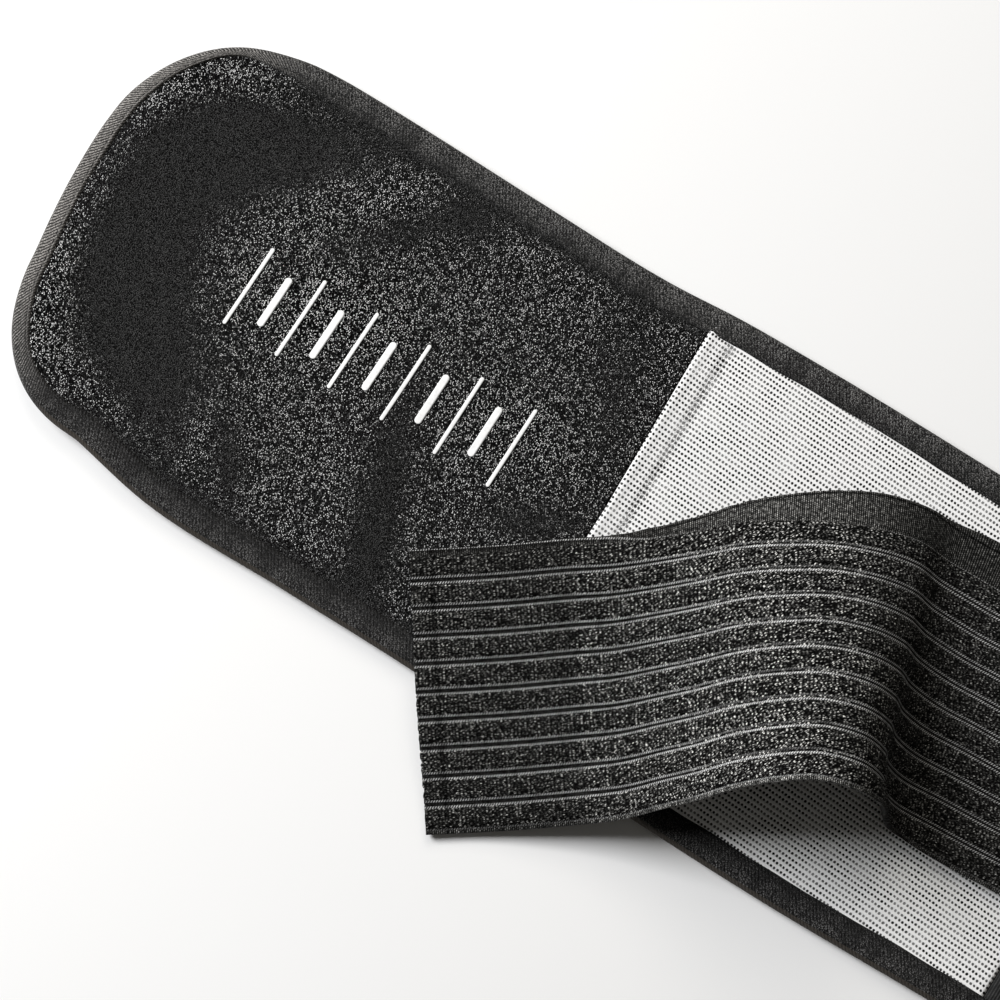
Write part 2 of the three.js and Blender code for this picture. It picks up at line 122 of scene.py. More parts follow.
def softSpots(rows, u, side):
    # sum of long soft spots; each falls off as a bell curve along its turned length and breadth
    total = np.zeros(np.shape(u))
    for along, level, length, breadth, turn, strength in rows:
        c, s = math.cos(math.radians(turn)), math.sin(math.radians(turn))
        lengthwise = (u - along) * c + (side - level) * s
        crosswise = (side - level) * c - (u - along) * s
        total = total + strength * bell(lengthwise, length / 2) * bell(crosswise, breadth / 2)
    return total


def ripple(u, side, wave, waves=7):
    # mean of a few sine waves of about one length in seeded directions; wave is amount, length, seed
    amount, wavelength, seed = wave
    rng = np.random.default_rng(seed)
    total = np.zeros(np.shape(u))
    for angle, phase, stretch in zip(rng.uniform(0, math.pi, waves), rng.uniform(0, 6.28, waves),
                                     rng.uniform(0.75, 1.35, waves)):
        along = u * math.cos(angle) + side * math.sin(angle)
        total = total + np.sin(along * 2 * math.pi / (wavelength * stretch) + phase)
    return amount * total / waves


def fromEnd(u):
    # distance along the belt from the nearer end
    return np.minimum(u, belt["length"] - u)


def longEdges(u):
    # upper and lower edge of the belt, level with the corners' ends beyond them
    upper, lower = np.moveaxis(smoothRows(belt["outline"], np.maximum(fromEnd(u), belt["cornerEnd"])), -1, 0)
    return upper, lower


def edgeInset(u, side):
    # distance from the edge: the least of those to the long edges and the end, or to an arc inside its corner
    near = fromEnd(u)
    upper, lower = longEdges(u)
    topLevel, lowLevel = belt["corners"][0][1], belt["corners"][1][1]
    slant = belt["endSlant"] * np.clip((topLevel - side) / (topLevel - lowLevel), 0, 1)
    inset = np.minimum(np.minimum(upper - side, side + lower), near - slant)
    for radius, level, start, way in belt["corners"]:
        along, rise = start + radius - near, way * (side - level)
        inset = np.where((along > 0) & (rise > 0), radius - np.hypot(along, rise), inset)
    return inset


def endShare(u):
    # 1 at the left end and 0 past its corners
    return 1 - smoothStep(u, *belt["curl"]["rollEnd"])


def curlLift(u, side):
    # the left end lifts beyond a bowed crease, by a power of the distance from it; its rim rolls down again
    curl = belt["curl"]
    crease = curl["start"] + curl["bow"] * (side - curl["middle"]) ** 2
    lift = curl["height"] * np.maximum(0, 1 - u / crease) ** curl["power"]
    rolled = np.clip(1 - edgeInset(u, side) / curl["rollWidth"], 0, 1) ** 2
    return lift - curl["roll"] * rolled * endShare(u)


def tapeInset(inset, u, side):
    # how far from the edge a point of the tape's section lies: its inset, less what the left end rolls
    # out of sight, which is a share of what lies past the round edge
    along, level, spread = belt["narrowest"]
    everywhere, atCorner = belt["narrowed"]
    hidden = endShare(u) * (everywhere + atCorner * bell(u - along, spread) * bell(side - level, spread))
    return inset - np.maximum(inset - belt["tapeRound"], 0) * hidden


def fromTape(u, side):
    # distance from the tape's inner edge
    return edgeInset(u, side) - tapeInset(belt["tapeWidth"], u, side)


def coverTop(u, side, loft):
    # a cover rises in an S curve from the rim under the tape to its loft, on top of the curl
    rise = smoothStep(fromTape(u, side), *belt["rise"])
    return curlLift(u, side) + belt["rimTop"] + (loft - belt["rimTop"]) * rise


def cornerArcs(inset, count):
    # the left end's upper and lower corner, each a quarter circle: along and side
    turn = np.linspace(0, math.pi / 2, count)
    return [(start + radius - (radius - inset) * np.cos(turn), level + way * (radius - inset) * np.sin(turn))
            for radius, level, start, way in belt["corners"]]


def planGrid(start, end, step, columns, inset):
    # sections across the belt from start to end; round an end both corner arcs turn together
    length, cornerEnd, slack = belt["length"], belt["cornerEnd"], 1e-6
    arcs = cornerArcs(inset, int(1.3 * cornerEnd / step))
    first = cornerEnd + step if start <= slack + inset else start
    last = length - cornerEnd - step if end >= length - inset - slack else end
    station = np.linspace(first, last, max(2, int(round((last - first) / step)) + 1))
    upper, lower = longEdges(station)
    rims = [[(station, upper - inset)], [(station, inset - lower)]]
    for rim, (along, level) in zip(rims, arcs):
        if first > start + 1:
            rim.insert(0, (along, level))
        if last < end - 1:
            rim.append((length - along[::-1], level[::-1]))
    (upperU, upperS), (lowerU, lowerS) = [np.concatenate(rim, axis=1) for rim in rims]
    lane = np.linspace(0, 1, columns)
    u = upperU[:, None] * (1 - lane) + lowerU[:, None] * lane
    return u, upperS[:, None] * (1 - lane) + lowerS[:, None] * lane


def gridFaces(rows, columns, wrapRows=False, wrapColumns=False):
    # quads between neighbouring rows and columns of a grid of vertices
    i, j = np.meshgrid(np.arange(rows if wrapRows else rows - 1),
                       np.arange(columns if wrapColumns else columns - 1), indexing="ij")
    i, j, k, n = i.ravel(), j.ravel(), ((i + 1) % rows).ravel(), ((j + 1) % columns).ravel()
    return np.stack([i * columns + j, i * columns + n, k * columns + n, k * columns + j], axis=1)


def sheetFaces(rows, columns):
    # two grids of one size, one after the other, as the faces of a sheet with walls round the edge
    count = rows * columns
    number = np.arange(count).reshape(rows, columns)
    rim = np.concatenate([number[0], number[1:, -1], number[-1, -2::-1], number[-2:0:-1, 0]])
    ahead = np.roll(rim, -1)
    upper = gridFaces(rows, columns)
    walls = np.stack([ahead, rim, rim + count, ahead + count], axis=1)
    return np.vstack([upper, upper[:, ::-1] + count, walls])


def signedVolume(points, faces):
    # six times the volume inside quads or triangles, positive where they face out
    a, b, c, d = (points[faces[:, n]] for n in (0, 1, 2, -1))
    return np.sum(a * np.cross(b, c)) + np.sum(a * np.cross(c, d))


def linkObject(name, data):
    thing = bpy.data.objects.new(name, data)
    bpy.context.scene.collection.objects.link(thing)
    return thing


def makePiece(name, points, faces, cloth=None, masks=None, caps=None, wrap=None):
    # a closed mesh from arrays, turned so that it faces out, with cloth coordinates and point masks;
    # wrap is the length after which the cloth meets its own start
    flip = signedVolume(points, faces) < 0
    lists = (faces[:, ::-1] if flip else faces).tolist()
    if caps is not None:
        lists += (caps[:, ::-1] if flip else caps).tolist()
    mesh = bpy.data.meshes.new(name)
    mesh.from_pydata(points.tolist(), [], lists)
    mesh.polygons.foreach_set("use_smooth", np.ones(len(lists), bool))
    if cloth is not None:
        corner = np.zeros(len(mesh.loops), np.int32)
        mesh.loops.foreach_get("vertex_index", corner)
        place = cloth[corner].astype(np.float32)
        if wrap is not None:
            along = place[:, 0].reshape(-1, 4)
            behind = along.max(axis=1, keepdims=True) - along > wrap / 2
            place[:, 0] = (along + wrap * behind).ravel()
        mesh.uv_layers.new(name="cloth").data.foreach_set("uv", place.ravel())
    for key, values in (masks or {}).items():
        layer = mesh.attributes.new(key, "FLOAT", "POINT")
        layer.data.foreach_set("value", values.astype(np.float32).ravel())
    mesh.update()
    return linkObject(name, mesh)


def thickSheet(name, top, bottom, masks=None):
    # a sheet between two grids; its masks are the same on both faces
    points = np.vstack([top.reshape(-1, 3), bottom.reshape(-1, 3)])
    both = {key: np.concatenate([value.ravel()] * 2) for key, value in (masks or {}).items()}
    return makePiece(name, points, sheetFaces(*top.shape[:2]), masks=both)


def seat(piece, material, slot, *nodes):
    # gives a piece its finish, puts it on the belt's body and hides the solids that it stands for
    piece.data.materials.append(material)
    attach(piece, "root")
    if nodes:
        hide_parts(*nodes)
    return piece


# Shader building, on the node tree that lies on the bench
bench = {"tree": None}


def calc(operation, *values):
    # one Math node
    node = bench["tree"].nodes.new("ShaderNodeMath")
    node.operation = operation
    for socket, value in zip(node.inputs, values):
        wire(value, socket)
    return Level(node.outputs[0])


def stepOf(operation, swapped=False):
    # an operator of two values that makes a Math node
    def step(first, second):
        return calc(operation, second, first) if swapped else calc(operation, first, second)
    return step


class Level:
    # a shader value that works like a number: each sum, product or power of it is a Math node
    def __init__(self, socket):
        self.socket = socket

    __add__ = stepOf("ADD")
    __mul__ = stepOf("MULTIPLY")
    __sub__ = stepOf("SUBTRACT")
    __rsub__ = stepOf("SUBTRACT", True)
    __truediv__ = stepOf("DIVIDE")
    __rtruediv__ = stepOf("DIVIDE", True)
    __pow__ = stepOf("POWER")

    def __abs__(self):
        return calc("ABSOLUTE", self)


def wire(value, socket):
    # links a shader value, or sets a plain one
    if isinstance(value, Level):
        bench["tree"].links.new(value.socket, socket)
    else:
        socket.default_value = value


def addNode(kind, inputs=None, **settings):
    # gives the new node's outputs by number and by name
    node = bench["tree"].nodes.new(kind)
    for key, value in settings.items():
        setattr(node, key, value)
    for key, value in (inputs or {}).items():
        wire(value, node.inputs[key])
    return {key: Level(socket) for key, socket in [*enumerate(node.outputs), *node.outputs.items()]}


def fade(value, low, high, toLow=0.0, toHigh=1.0):
    # S curve between two values
    settings = dict(enumerate((value, low, high, toLow, toHigh)))
    return addNode("ShaderNodeMapRange", settings, interpolation_type="SMOOTHSTEP")[0]


def graded(level, pair):
    # a start, and its change with the level
    return level * pair[1] + pair[0]


def mixColour(factor, first, second):
    # the first colour at 0 and the second at 1
    return addNode("ShaderNodeMix", {0: factor, 6: first, 7: second}, data_type="RGBA")[2]


def grey(level, warmth=0.0):
    # a grey with a share more red and less blue
    return (level * (1 + warmth), level, level * (1 - warmth), 1.0)


def noise(place, scale, detail=2.0, kind="3D"):
    inputs = {"W" if kind == "1D" else "Vector": place, "Scale": scale, "Detail": detail}
    return addNode("ShaderNodeTexNoise", inputs, noise_dimensions=kind)[0]


def splitUp(place):
    parts = addNode("ShaderNodeSeparateXYZ", {"Vector": place})
    return parts[0], parts[1]


def putTogether(x, y, z=0.0):
    return addNode("ShaderNodeCombineXYZ", {"X": x, "Y": y, "Z": z})[0]


def turned(place, degrees):
    inputs = {"Vector": place, "Angle": math.radians(degrees)}
    return addNode("ShaderNodeVectorRotate", inputs, rotation_type="Z_AXIS")[0]


def objectPlace():
    return addNode("ShaderNodeTexCoord")["Object"]


def clothPlace():
    return addNode("ShaderNodeUVMap", uv_map="cloth")[0]


def mask(name):
    return addNode("ShaderNodeAttribute", attribute_name=name)["Fac"]


def newGroup(name, inputs, outputs):
    # a shader group with a vector, float inputs and float outputs; gives its inputs and its output sockets
    tree = bpy.data.node_groups.new(name, "ShaderNodeTree")
    bench["tree"] = tree
    tree.interface.new_socket("Vector", in_out="INPUT", socket_type="NodeSocketVector")
    for key, value in inputs.items():
        tree.interface.new_socket(key, in_out="INPUT", socket_type="NodeSocketFloat").default_value = value
    for key in outputs:
        tree.interface.new_socket(key, in_out="OUTPUT", socket_type="NodeSocketFloat")
    return tree, addNode("NodeGroupInput"), tree.nodes.new("NodeGroupOutput").inputs


def useGroup(group, place, **inputs):
    return addNode("ShaderNodeGroup", {"Vector": place, **inputs}, node_tree=group)


glintLook = {"turns": (58.0, 90.0), "core": 0.1, "grain": (0.55, 0.12)}


def makeGlints():
    # pile: fibres in two directions, each a stretched cell with its own chance; the grain shows every fibre
    # softly as its own tone, and the glint is a painted highlight on the few that a power of their chance
    # leaves bright
    tree, given, result = newGroup("pileGlints", {
        "Width": 0.0004, "Stretch": 2.0, "Cross": 1.0, "Rarity": 6.0, "Evenness": 1.0, "Spot": 0.4},
        ["Glint", "Grain"])
    fine = 1.0 / given["Width"]
    scale = putTogether(fine / given["Stretch"], fine, fine)
    glints, grains = [], []
    for angle, weight in zip(glintLook["turns"], (1.0, given["Cross"])):
        fibres = {0: turned(given["Vector"], angle), 1: scale}
        spread = addNode("ShaderNodeVectorMath", fibres, operation="MULTIPLY")
        cells = addNode("ShaderNodeTexVoronoi", {
            "Vector": spread[0], "Scale": 1.0, "Randomness": given["Evenness"]}, voronoi_dimensions="2D")
        chance = addNode("ShaderNodeSeparateColor", {"Color": cells["Color"]})[0]
        away = cells["Distance"]
        glints.append(chance ** given["Rarity"] * weight * fade(away, given["Spot"], glintLook["core"]))
        grains.append(chance * fade(away, *glintLook["grain"]))
    wire(calc("MAXIMUM", *glints), result["Glint"])
    wire(calc("MAXIMUM", *grains), result["Grain"])
    return tree


weaveLook = {"shift": 0.5, "tuft": (0.5, 0.5), "cord": (0.3, 0.85),
             "fibre": 900.0, "fibres": (0.25, 0.75, 0.35, 1.0)}


def makeRibWeave():
    # woven ribs: rounded cords at one pitch, each crossed by fine picks that shift from cord to cord
    tree, given, result = newGroup("ribWeave", {"Rib": 0.0006, "Pick": 0.0004}, ["Height", "Tone", "Cord"])
    x, y = splitUp(given["Vector"])
    rib = x / given["Rib"]
    pick = y / given["Pick"] + calc("FLOOR", rib) * weaveLook["shift"]
    cord, tuft = (abs(calc("SINE", beat * math.pi)) for beat in (rib, pick))
    height = cord * graded(tuft, weaveLook["tuft"])
    fibres = fade(noise(given["Vector"], weaveLook["fibre"]), *weaveLook["fibres"])
    wire(height, result["Height"])
    wire(height * fibres, result["Tone"])
    wire(fade(cord, *weaveLook["cord"]), result["Cord"])
    return tree


pileGlints = makeGlints()
ribWeave = makeRibWeave()


def newFinish(name, roughness, specular):
    # a material, and the sockets of its Principled shader
    material = bpy.data.materials.new(name)
    material.use_nodes = True
    bench["tree"] = material.node_tree
    shader = material.node_tree.nodes["Principled BSDF"].inputs
    shader["Roughness"].default_value = roughness
    shader["Specular IOR Level"].default_value = specular
    return material, shader


def dress(shader, colour, height, distance):
    # base colour, and bump from a height between 0 and 1
    wire(colour, shader["Base Color"])
    bump = addNode("ShaderNodeBump", {"Height": height, "Distance": distance, "Strength": 1.0})
    wire(bump[0], shader["Normal"])


velourLook = {
    "pile": {"Width": 0.00035, "Stretch": 1.5, "Rarity": 17.0, "Spot": 0.48},
    "clump": 320.0, "clumped": (0.34, 0.66, 0.5, 1.4),
    "deep": (0.002, -0.0015),  # level between the fibres, and its change where the painted light is strong
    "grain": (0.125, -0.115), "grainPower": 1.5,
    "tips": (0.03, 9.6), "tipsPower": 2.2,  # level of the painted glints on the fibres, and its rise with a power of the painted light
    "gloss": (0.9, -0.25), "relief": 0.0002}


def velourFinish():
    # dark between the fibres; how bright the painted glints on the fibres are follows the painted light and
    # shade of the pile
    material, shader = newFinish("velour", 0.85, 0.02)
    place, paintedShading = objectPlace(), mask("paintedShading")
    pile = useGroup(pileGlints, place, **velourLook["pile"])
    tips = graded(paintedShading ** velourLook["tipsPower"], velourLook["tips"])
    tips = tips * fade(noise(place, velourLook["clump"]), *velourLook["clumped"])
    grain = pile["Grain"] ** velourLook["grainPower"] * graded(paintedShading, velourLook["grain"])
    level = pile["Glint"] * tips + (grain + graded(paintedShading, velourLook["deep"]))
    wire(graded(pile["Glint"], velourLook["gloss"]), shader["Roughness"])
    dress(shader, mixColour(level, grey(0.0), grey(1.0)), pile["Grain"], velourLook["relief"])
    return material


meshLook = {
    "yarn": grey(0.97), "troughTone": grey(0.42, 0.01), "seamGrey": grey(0.2), "hole": grey(0.005),
    "alongPitch": 1.233, "rowPitch": 1.736, "lean": 0.047,  # millimetres, and how the rows lean
    "holeRadius": 0.44, "soft": (1.02, 0.78), "pulledWider": 0.3,
    "wobble": (600.0, -0.2, 0.4), "patches": (150.0, 3.0), "patchy": (0.3, 0.6, 0.7, 1.0),
    "trough": (0.75, 0.1), "troughShade": 0.07, "knit": 2200.0, "knitShade": 0.1,
    "knitHeight": 0.25, "troughHeight": 0.4,
    "seamGreyed": (0.44, 0.56, 0.0, 0.9), "relief": 0.0004}


def meshFinish():
    # round holes on a rectangular lattice whose rows lean a little against the belt, with yarn ribs between
    material, shader = newFinish("spacerMesh", 0.75, 0.2)
    place, pulled = objectPlace(), mask("sewnLine")
    alongMm, acrossMm = (part * 1000.0 for part in splitUp(place))
    wobble, *jog = meshLook["wobble"]
    jitter = graded(noise(place, wobble, 1.0), jog)

    def fromHole(distance, pitch):
        return (calc("FRACT", (distance + jitter) / pitch) - 0.5) * pitch

    dx = fromHole(alongMm, meshLook["alongPitch"])
    dy = fromHole(alongMm * meshLook["lean"] + acrossMm, meshLook["rowPitch"])
    away = calc("SQRT", dx * dx + dy * dy) / (pulled * meshLook["pulledWider"] + 1.0)
    hole = fade(away, *(meshLook["holeRadius"] * share for share in meshLook["soft"]))
    depth = hole * fade(noise(place, *meshLook["patches"]), *meshLook["patchy"])
    trough = fade(abs(dy), *meshLook["trough"])
    knit = noise(place, meshLook["knit"])
    shade = trough * meshLook["troughShade"] + knit * meshLook["knitShade"]
    yarn = mixColour(shade, meshLook["yarn"], meshLook["troughTone"])
    # greyer along the sewn line
    seamGreyed = mixColour(pulled * fade(knit, *meshLook["seamGreyed"]), yarn, meshLook["seamGrey"])
    height = knit * meshLook["knitHeight"] - (trough * meshLook["troughHeight"] + hole)
    dress(shader, mixColour(depth, seamGreyed, meshLook["hole"]), height, meshLook["relief"])
    return material


tapeLook = {
    "low": grey(0.007), "high": grey(0.19, 0.015),
    # tones where a painted sheen lights the tape turned to the light
    "paintedSheenLow": grey(0.004, 0.05), "paintedSheenHigh": grey(0.4, 0.05),
    "twill": -31.0, "weave": {"Rib": 0.00105, "Pick": 0.0026}, "paintedSheenOver": (0.05, 0.5),
    "grain": {"Width": 0.00045, "Stretch": 1.4, "Rarity": 3.0}, "grainPower": 1.6, "glint": 0.6,
    "plainCord": (0.75, 0.25), "ribGrain": (0.25, 1.4), "beadGrain": (0.15, 0.5),
    "puckers": 130.0, "puckered": (0.3, 0.65, 0.6, 1.15), "inwards": (0.0, 0.008, 0.5, 1.2),
    "shade": (1.0, -0.45),
    "side": grey(0.045, 0.14), "sideFrom": (0.0083, 0.0088),  # painted brownish bounce light on the side wall below the lower edge, and where it starts
    "sideOver": (0.93, 0.995), "bead": (0.0036, 0.0028, 0.0, 0.5), "relief": 0.00018}


def tapeFinish():
    # twill ribs with grain and a plainer bead along the inner edge; a painted sheen lightens the tape and its
    # bead where it is rolled to the light, painted shade darkens it along the lower edge, and painted
    # brownish bounce light lies on the side wall
    material, shader = newFinish("edgeTape", 0.7, 0.12)
    place, paintedSheen, shaded = clothPlace(), mask("paintedSheen"), mask("shaded")
    run, reach = splitUp(place)
    weave = useGroup(ribWeave, turned(place, tapeLook["twill"]), **tapeLook["weave"])
    pile = useGroup(pileGlints, place, **tapeLook["grain"])
    light = mixColour(paintedSheen, tapeLook["high"], tapeLook["paintedSheenHigh"])
    dark = mixColour(paintedSheen, tapeLook["low"], tapeLook["paintedSheenLow"])
    speckle = pile["Grain"] ** tapeLook["grainPower"] + pile["Glint"] * tapeLook["glint"]
    puckers = fade(noise(run, tapeLook["puckers"], 3.0, "1D"), *tapeLook["puckered"])
    inwards = puckers * fade(reach, *tapeLook["inwards"])
    plain = speckle * graded(weave["Cord"], tapeLook["plainCord"]) * inwards
    ribbed = weave["Cord"] * graded(speckle, tapeLook["ribGrain"])
    grained = (ribbed - plain) * fade(paintedSheen, *tapeLook["paintedSheenOver"]) + plain
    bead = fade(reach, *tapeLook["bead"]) * paintedSheen
    tone = (graded(speckle, tapeLook["beadGrain"]) - grained) * bead + grained
    # painted shade darkens the tape along the lower edge
    cloth = mixColour(tone * graded(shaded, tapeLook["shade"]), dark, light)
    # painted bounce light on the side wall below the lower edge
    wall = fade(reach, *tapeLook["sideFrom"]) * fade(shaded, *tapeLook["sideOver"])
    dress(shader, mixColour(wall, cloth, tapeLook["side"]), weave["Height"], tapeLook["relief"])
    return material


strapLook = {
    "pile": {"Width": 0.00048, "Stretch": 2.2, "Rarity": 5.2, "Evenness": 0.55, "Spot": 0.46},
    # tips is the level of the painted glints on the loops
    "cross": (0.3, 0.7, 1.0, 0.4), "deep": 0.001, "grain": (0.045, -0.034), "tips": 3.1, "gap": 0.03,
    "worn": 420.0, "column": 1.5, "row": 1.45,  # millimetres between the loops
    "inColumn": (-0.8, 0.6, 0.3, 1.0), "inRow": (-0.8, 0.6, 0.45, 1.0),
    "groove": (1.3, 0.95), "covered": (0.45, 0.8, -1.3, 0.2),  # where the painted light is strong, on the crest, the pile hides the upper part of the groove
    "thread": grey(0.95), "threadHalf": 0.36, "pairs": (4.75, 4.55), "pairLight": (0.45, 0.65),
    "upperDim": (0.5, 0.85, 0.1, 0.85), "edgeOpen": (0.4, 0.75, 0.4, 0.0), "lowerEdge": 0.4,
    "dash": 0.83, "slant": 0.7, "dashFloor": (0.45, 0.8, 0.0, 0.15), "wornThread": (0.3, 0.65, 0.45, 1.0),
    "sewn": (1.0, -0.6), "closed": (0.3, 2.0, 1.0, 0.0), "plainFrom": (1.2, 0.9), "foldLine": 0.9,
    "selvedge": {"Rib": 0.00066, "Pick": 0.0007}, "selvedgePower": 3.0, "selvedgeTone": (0.105, 1.05),
    "selvedgeLow": 0.004, "fringe": (2.6, 1.3), "fringed": (0.8, 0.35), "seamDark": (1.0, -0.8),
    "cloth": (1.0, 0.99, 0.95, 1.0), "relief": 0.00026, "threadHeight": 0.9,
    "pairSoft": (1.25, 0.6), "edgeSoft": (1.2, 0.5),  # outside and inside of a thread, in its half widths
    "outer": (4.8, 4.9), "upperHalf": (0.01, -0.01),  # in ribs
    "plainSoft": (0.0, 0.5), "bareSoft": (0.0, 0.35), "dashSoft": (-0.5, 0.8), "foldGlow": 0.9,
    "wander": (1.4, 1.8),  # how far the dashes and columns, and the rows, are thrown off their beat
    "foldSeam": (0.35, 0.5, 0.15), "seamOver": (0.8, 2.5), "seamSide": (-5.0, -5.05)}


def strapFinish(pitch):
    # cloth x counts ribs from the strap's middle, y is its length: thread pairs at whole ribs, terry between
    material, shader = newFinish("ribbedElastic", 0.8, 0.02)
    look = strapLook
    ribs, run = splitUp(clothPlace())
    across, alongMm = ribs * (pitch / 1000), run * 1000.0
    flat = putTogether(across, run)
    paintedShading, folded = mask("paintedShading"), mask("fold")
    terry = useGroup(pileGlints, flat, Cross=fade(paintedShading, *look["cross"]), **look["pile"])
    beyond = abs(ribs)
    nearest = calc("FRACT", ribs + 0.5) - 0.5
    signedMm = nearest * pitch
    edgeMm = (beyond - 5.0) * pitch
    worn = noise(flat, look["worn"])
    # painted shade darkens the cloth and threads in the hem's sewn groove
    hemGrooveShade = graded(mask("sewn"), look["sewn"])

    def threadLine(off, soft):
        return fade(off, *(look["threadHalf"] * share for share in soft))

    # two threads beside each whole rib and one at each outer rib, of short stitches across the line; the
    # upper thread is dimmer, and most so where the painted light is strong; the threads also carry the
    # painted light and shade
    inPairs = fade(beyond, *look["pairs"])
    hidden = fade(nearest, *look["upperHalf"]) * fade(paintedShading, *look["upperDim"])
    offThread = abs(abs(signedMm) - mask("pair"))
    pairLine = threadLine(offThread, look["pairSoft"]) * inPairs
    pairLine = pairLine * (1.0 - hidden) * graded(paintedShading, look["pairLight"])
    closed = fade(folded, *look["closed"])
    upperSide, lowerSide = (fade(ribs, *(way * rib for rib in look["outer"])) for way in (-1, 1))
    upperPlain, lowerPlain = look["plainFrom"]
    rimMm = upperSide * -upperPlain + lowerSide * -lowerPlain
    offEdge = abs(edgeMm - (rimMm + closed * upperSide * (upperPlain + look["foldLine"])))
    # the edge threads also take the painted light where the fold is open and along the lower edge
    glow = upperSide * (closed * look["foldGlow"] + (1.0 - closed) * fade(paintedShading, *look["edgeOpen"]))
    glow = glow + lowerSide * (paintedShading * look["lowerEdge"])
    edgeLine = threadLine(offEdge, look["edgeSoft"]) * glow
    wander, rowWander = look["wander"]
    swing = worn * wander + (signedMm * look["slant"] + alongMm) * (2 * math.pi / look["dash"])
    dash = fade(calc("SINE", swing), *look["dashSoft"], fade(paintedShading, *look["dashFloor"]), 1.0)
    thread = calc("MAXIMUM", pairLine, edgeLine) * dash * fade(worn, *look["wornThread"]) * hemGrooveShade

    # terry loops stand in loose columns across the strap; their painted glints brighten with the painted
    # light
    column = calc("SINE", worn * wander + alongMm * (2 * math.pi / look["column"]))
    row = calc("SINE", worn * rowWander + ribs * (2 * math.pi * pitch / look["row"]))
    standing = fade(column, *look["inColumn"]) * fade(row, *look["inRow"])
    loops = terry["Glint"] * standing * (paintedShading * look["tips"])
    plain = fade(edgeMm - rimMm, *look["plainSoft"])
    bare = fade(signedMm - fade(paintedShading, *look["covered"]), *look["bareSoft"])
    groove = fade(signedMm, *look["groove"]) * inPairs * bare
    pileHere = (1.0 - groove) * (1.0 - plain)
    lit = (terry["Grain"] * graded(paintedShading, look["grain"]) + loops) * pileHere
    lit = lit + groove * terry["Grain"] * look["gap"]

    # selvedges: fine ribs across the cloth, lighter where the painted light is strong, with a dark line
    # beside the upper fold and a lighter fringe along the lower edge
    weave = useGroup(ribWeave, putTogether(run, across), **look["selvedge"])
    rib = weave["Tone"] ** look["selvedgePower"] * graded(paintedShading, look["selvedgeTone"])
    fringe = fade(edgeMm, *look["fringe"]) * lowerSide
    beforeFold, *seamSoft = look["foldSeam"]
    seam = fade(abs(edgeMm - (folded - beforeFold)), *seamSoft) * fade(folded, *look["seamOver"])
    seam = seam * fade(ribs, *look["seamSide"])
    edge = plain * (rib * graded(fringe, look["fringed"]) + look["selvedgeLow"])
    edge = edge * graded(seam, look["seamDark"])
    cloth = mixColour((lit + edge + look["deep"]) * hemGrooveShade, grey(0.0), look["cloth"])
    height = terry["Grain"] * pileHere + (thread * look["threadHeight"] + weave["Height"] * plain)
    dress(shader, mixColour(thread, cloth, look["thread"]), height, look["relief"])
    return material


def wovenFinish(name, roughness, specular, tones, rib, pick, relief):
    # ribbed weave, dark between the cords and lighter on their tufts
    material, shader = newFinish(name, roughness, specular)
    weave = useGroup(ribWeave, objectPlace(), Rib=rib, Pick=pick)
    dress(shader, mixColour(weave["Tone"], *map(grey, tones)), weave["Height"], relief)
    return material


def mottledFinish(name, roughness, specular, tones, grain, spread, relief):
    # two tones mixed by a fine noise
    material, shader = newFinish(name, roughness, specular)
    mottle = noise(objectPlace(), *grain)
    share = fade(mottle, *spread) if spread else mottle
    dress(shader, mixColour(share, *map(grey, tones)), mottle, relief)
    return material


velourBlack = velourFinish()
meshWhite = meshFinish()
tapeBlack = tapeFinish()
backBlack = wovenFinish("ribbedBack", 0.75, 0.12, (0.008, 0.06), 0.0009, 0.0006, 0.0002)
printWhite = mottledFinish("whitePrint", 0.6, 0.2, (0.9, 0.66), (900.0, 3.0), (0.45, 0.8, 0.0, 0.5), 0.00012)
hookBlack = wovenFinish("hookTape", 0.4, 0.5, (0.008, 0.03), 0.0016, 0.0008, 0.0001)
liningBlack = wovenFinish("knitLining", 0.85, 0.12, (0.01, 0.035), 0.0011, 0.0009, 0.00018)
threadBlack = mottledFinish("blackThread", 0.7, 0.1, (0.008, 0.03), (1800.0,), None, 0.0001)
print("finishes made")

# Foam body with its lining
padPiece = {"step": 4.0, "columns": 44, "inset": 1.4,
            "rim": (1.4, 3.1), "field": (0.05, 3.9), "rise": (8.0, 17.0),  # under and upper face; insets
            "hookRoom": (14, 4), "uneven": (0.05, 26, 3)}


def makePad():
    # two faces that part in an S curve from the thin rim to the full foam, with a faint unevenness
    u, side = planGrid(0, belt["length"], padPiece["step"], padPiece["columns"], padPiece["inset"])
    rise = smoothStep(edgeInset(u, side), *padPiece["rise"])
    lift = curlLift(u, side)
    overHook = smoothStep(u, *(nodeSpan("closing_hook")[0] - room for room in padPiece["hookRoom"]))
    (rimLow, rimHigh), (low, high) = padPiece["rim"], padPiece["field"]
    under = rimLow + (low - rimLow) * rise * (1 - overHook) + padPiece["uneven"][0]
    under = under + ripple(u, side, padPiece["uneven"])
    pad = thickSheet("pad", toFrame(u, side, lift + rimHigh + (high - rimHigh) * rise),
                     toFrame(u, side, lift + under))
    seat(pad, liningBlack, "pad", "body_pad")
    return pad


pad = makePad()
print("pad made")

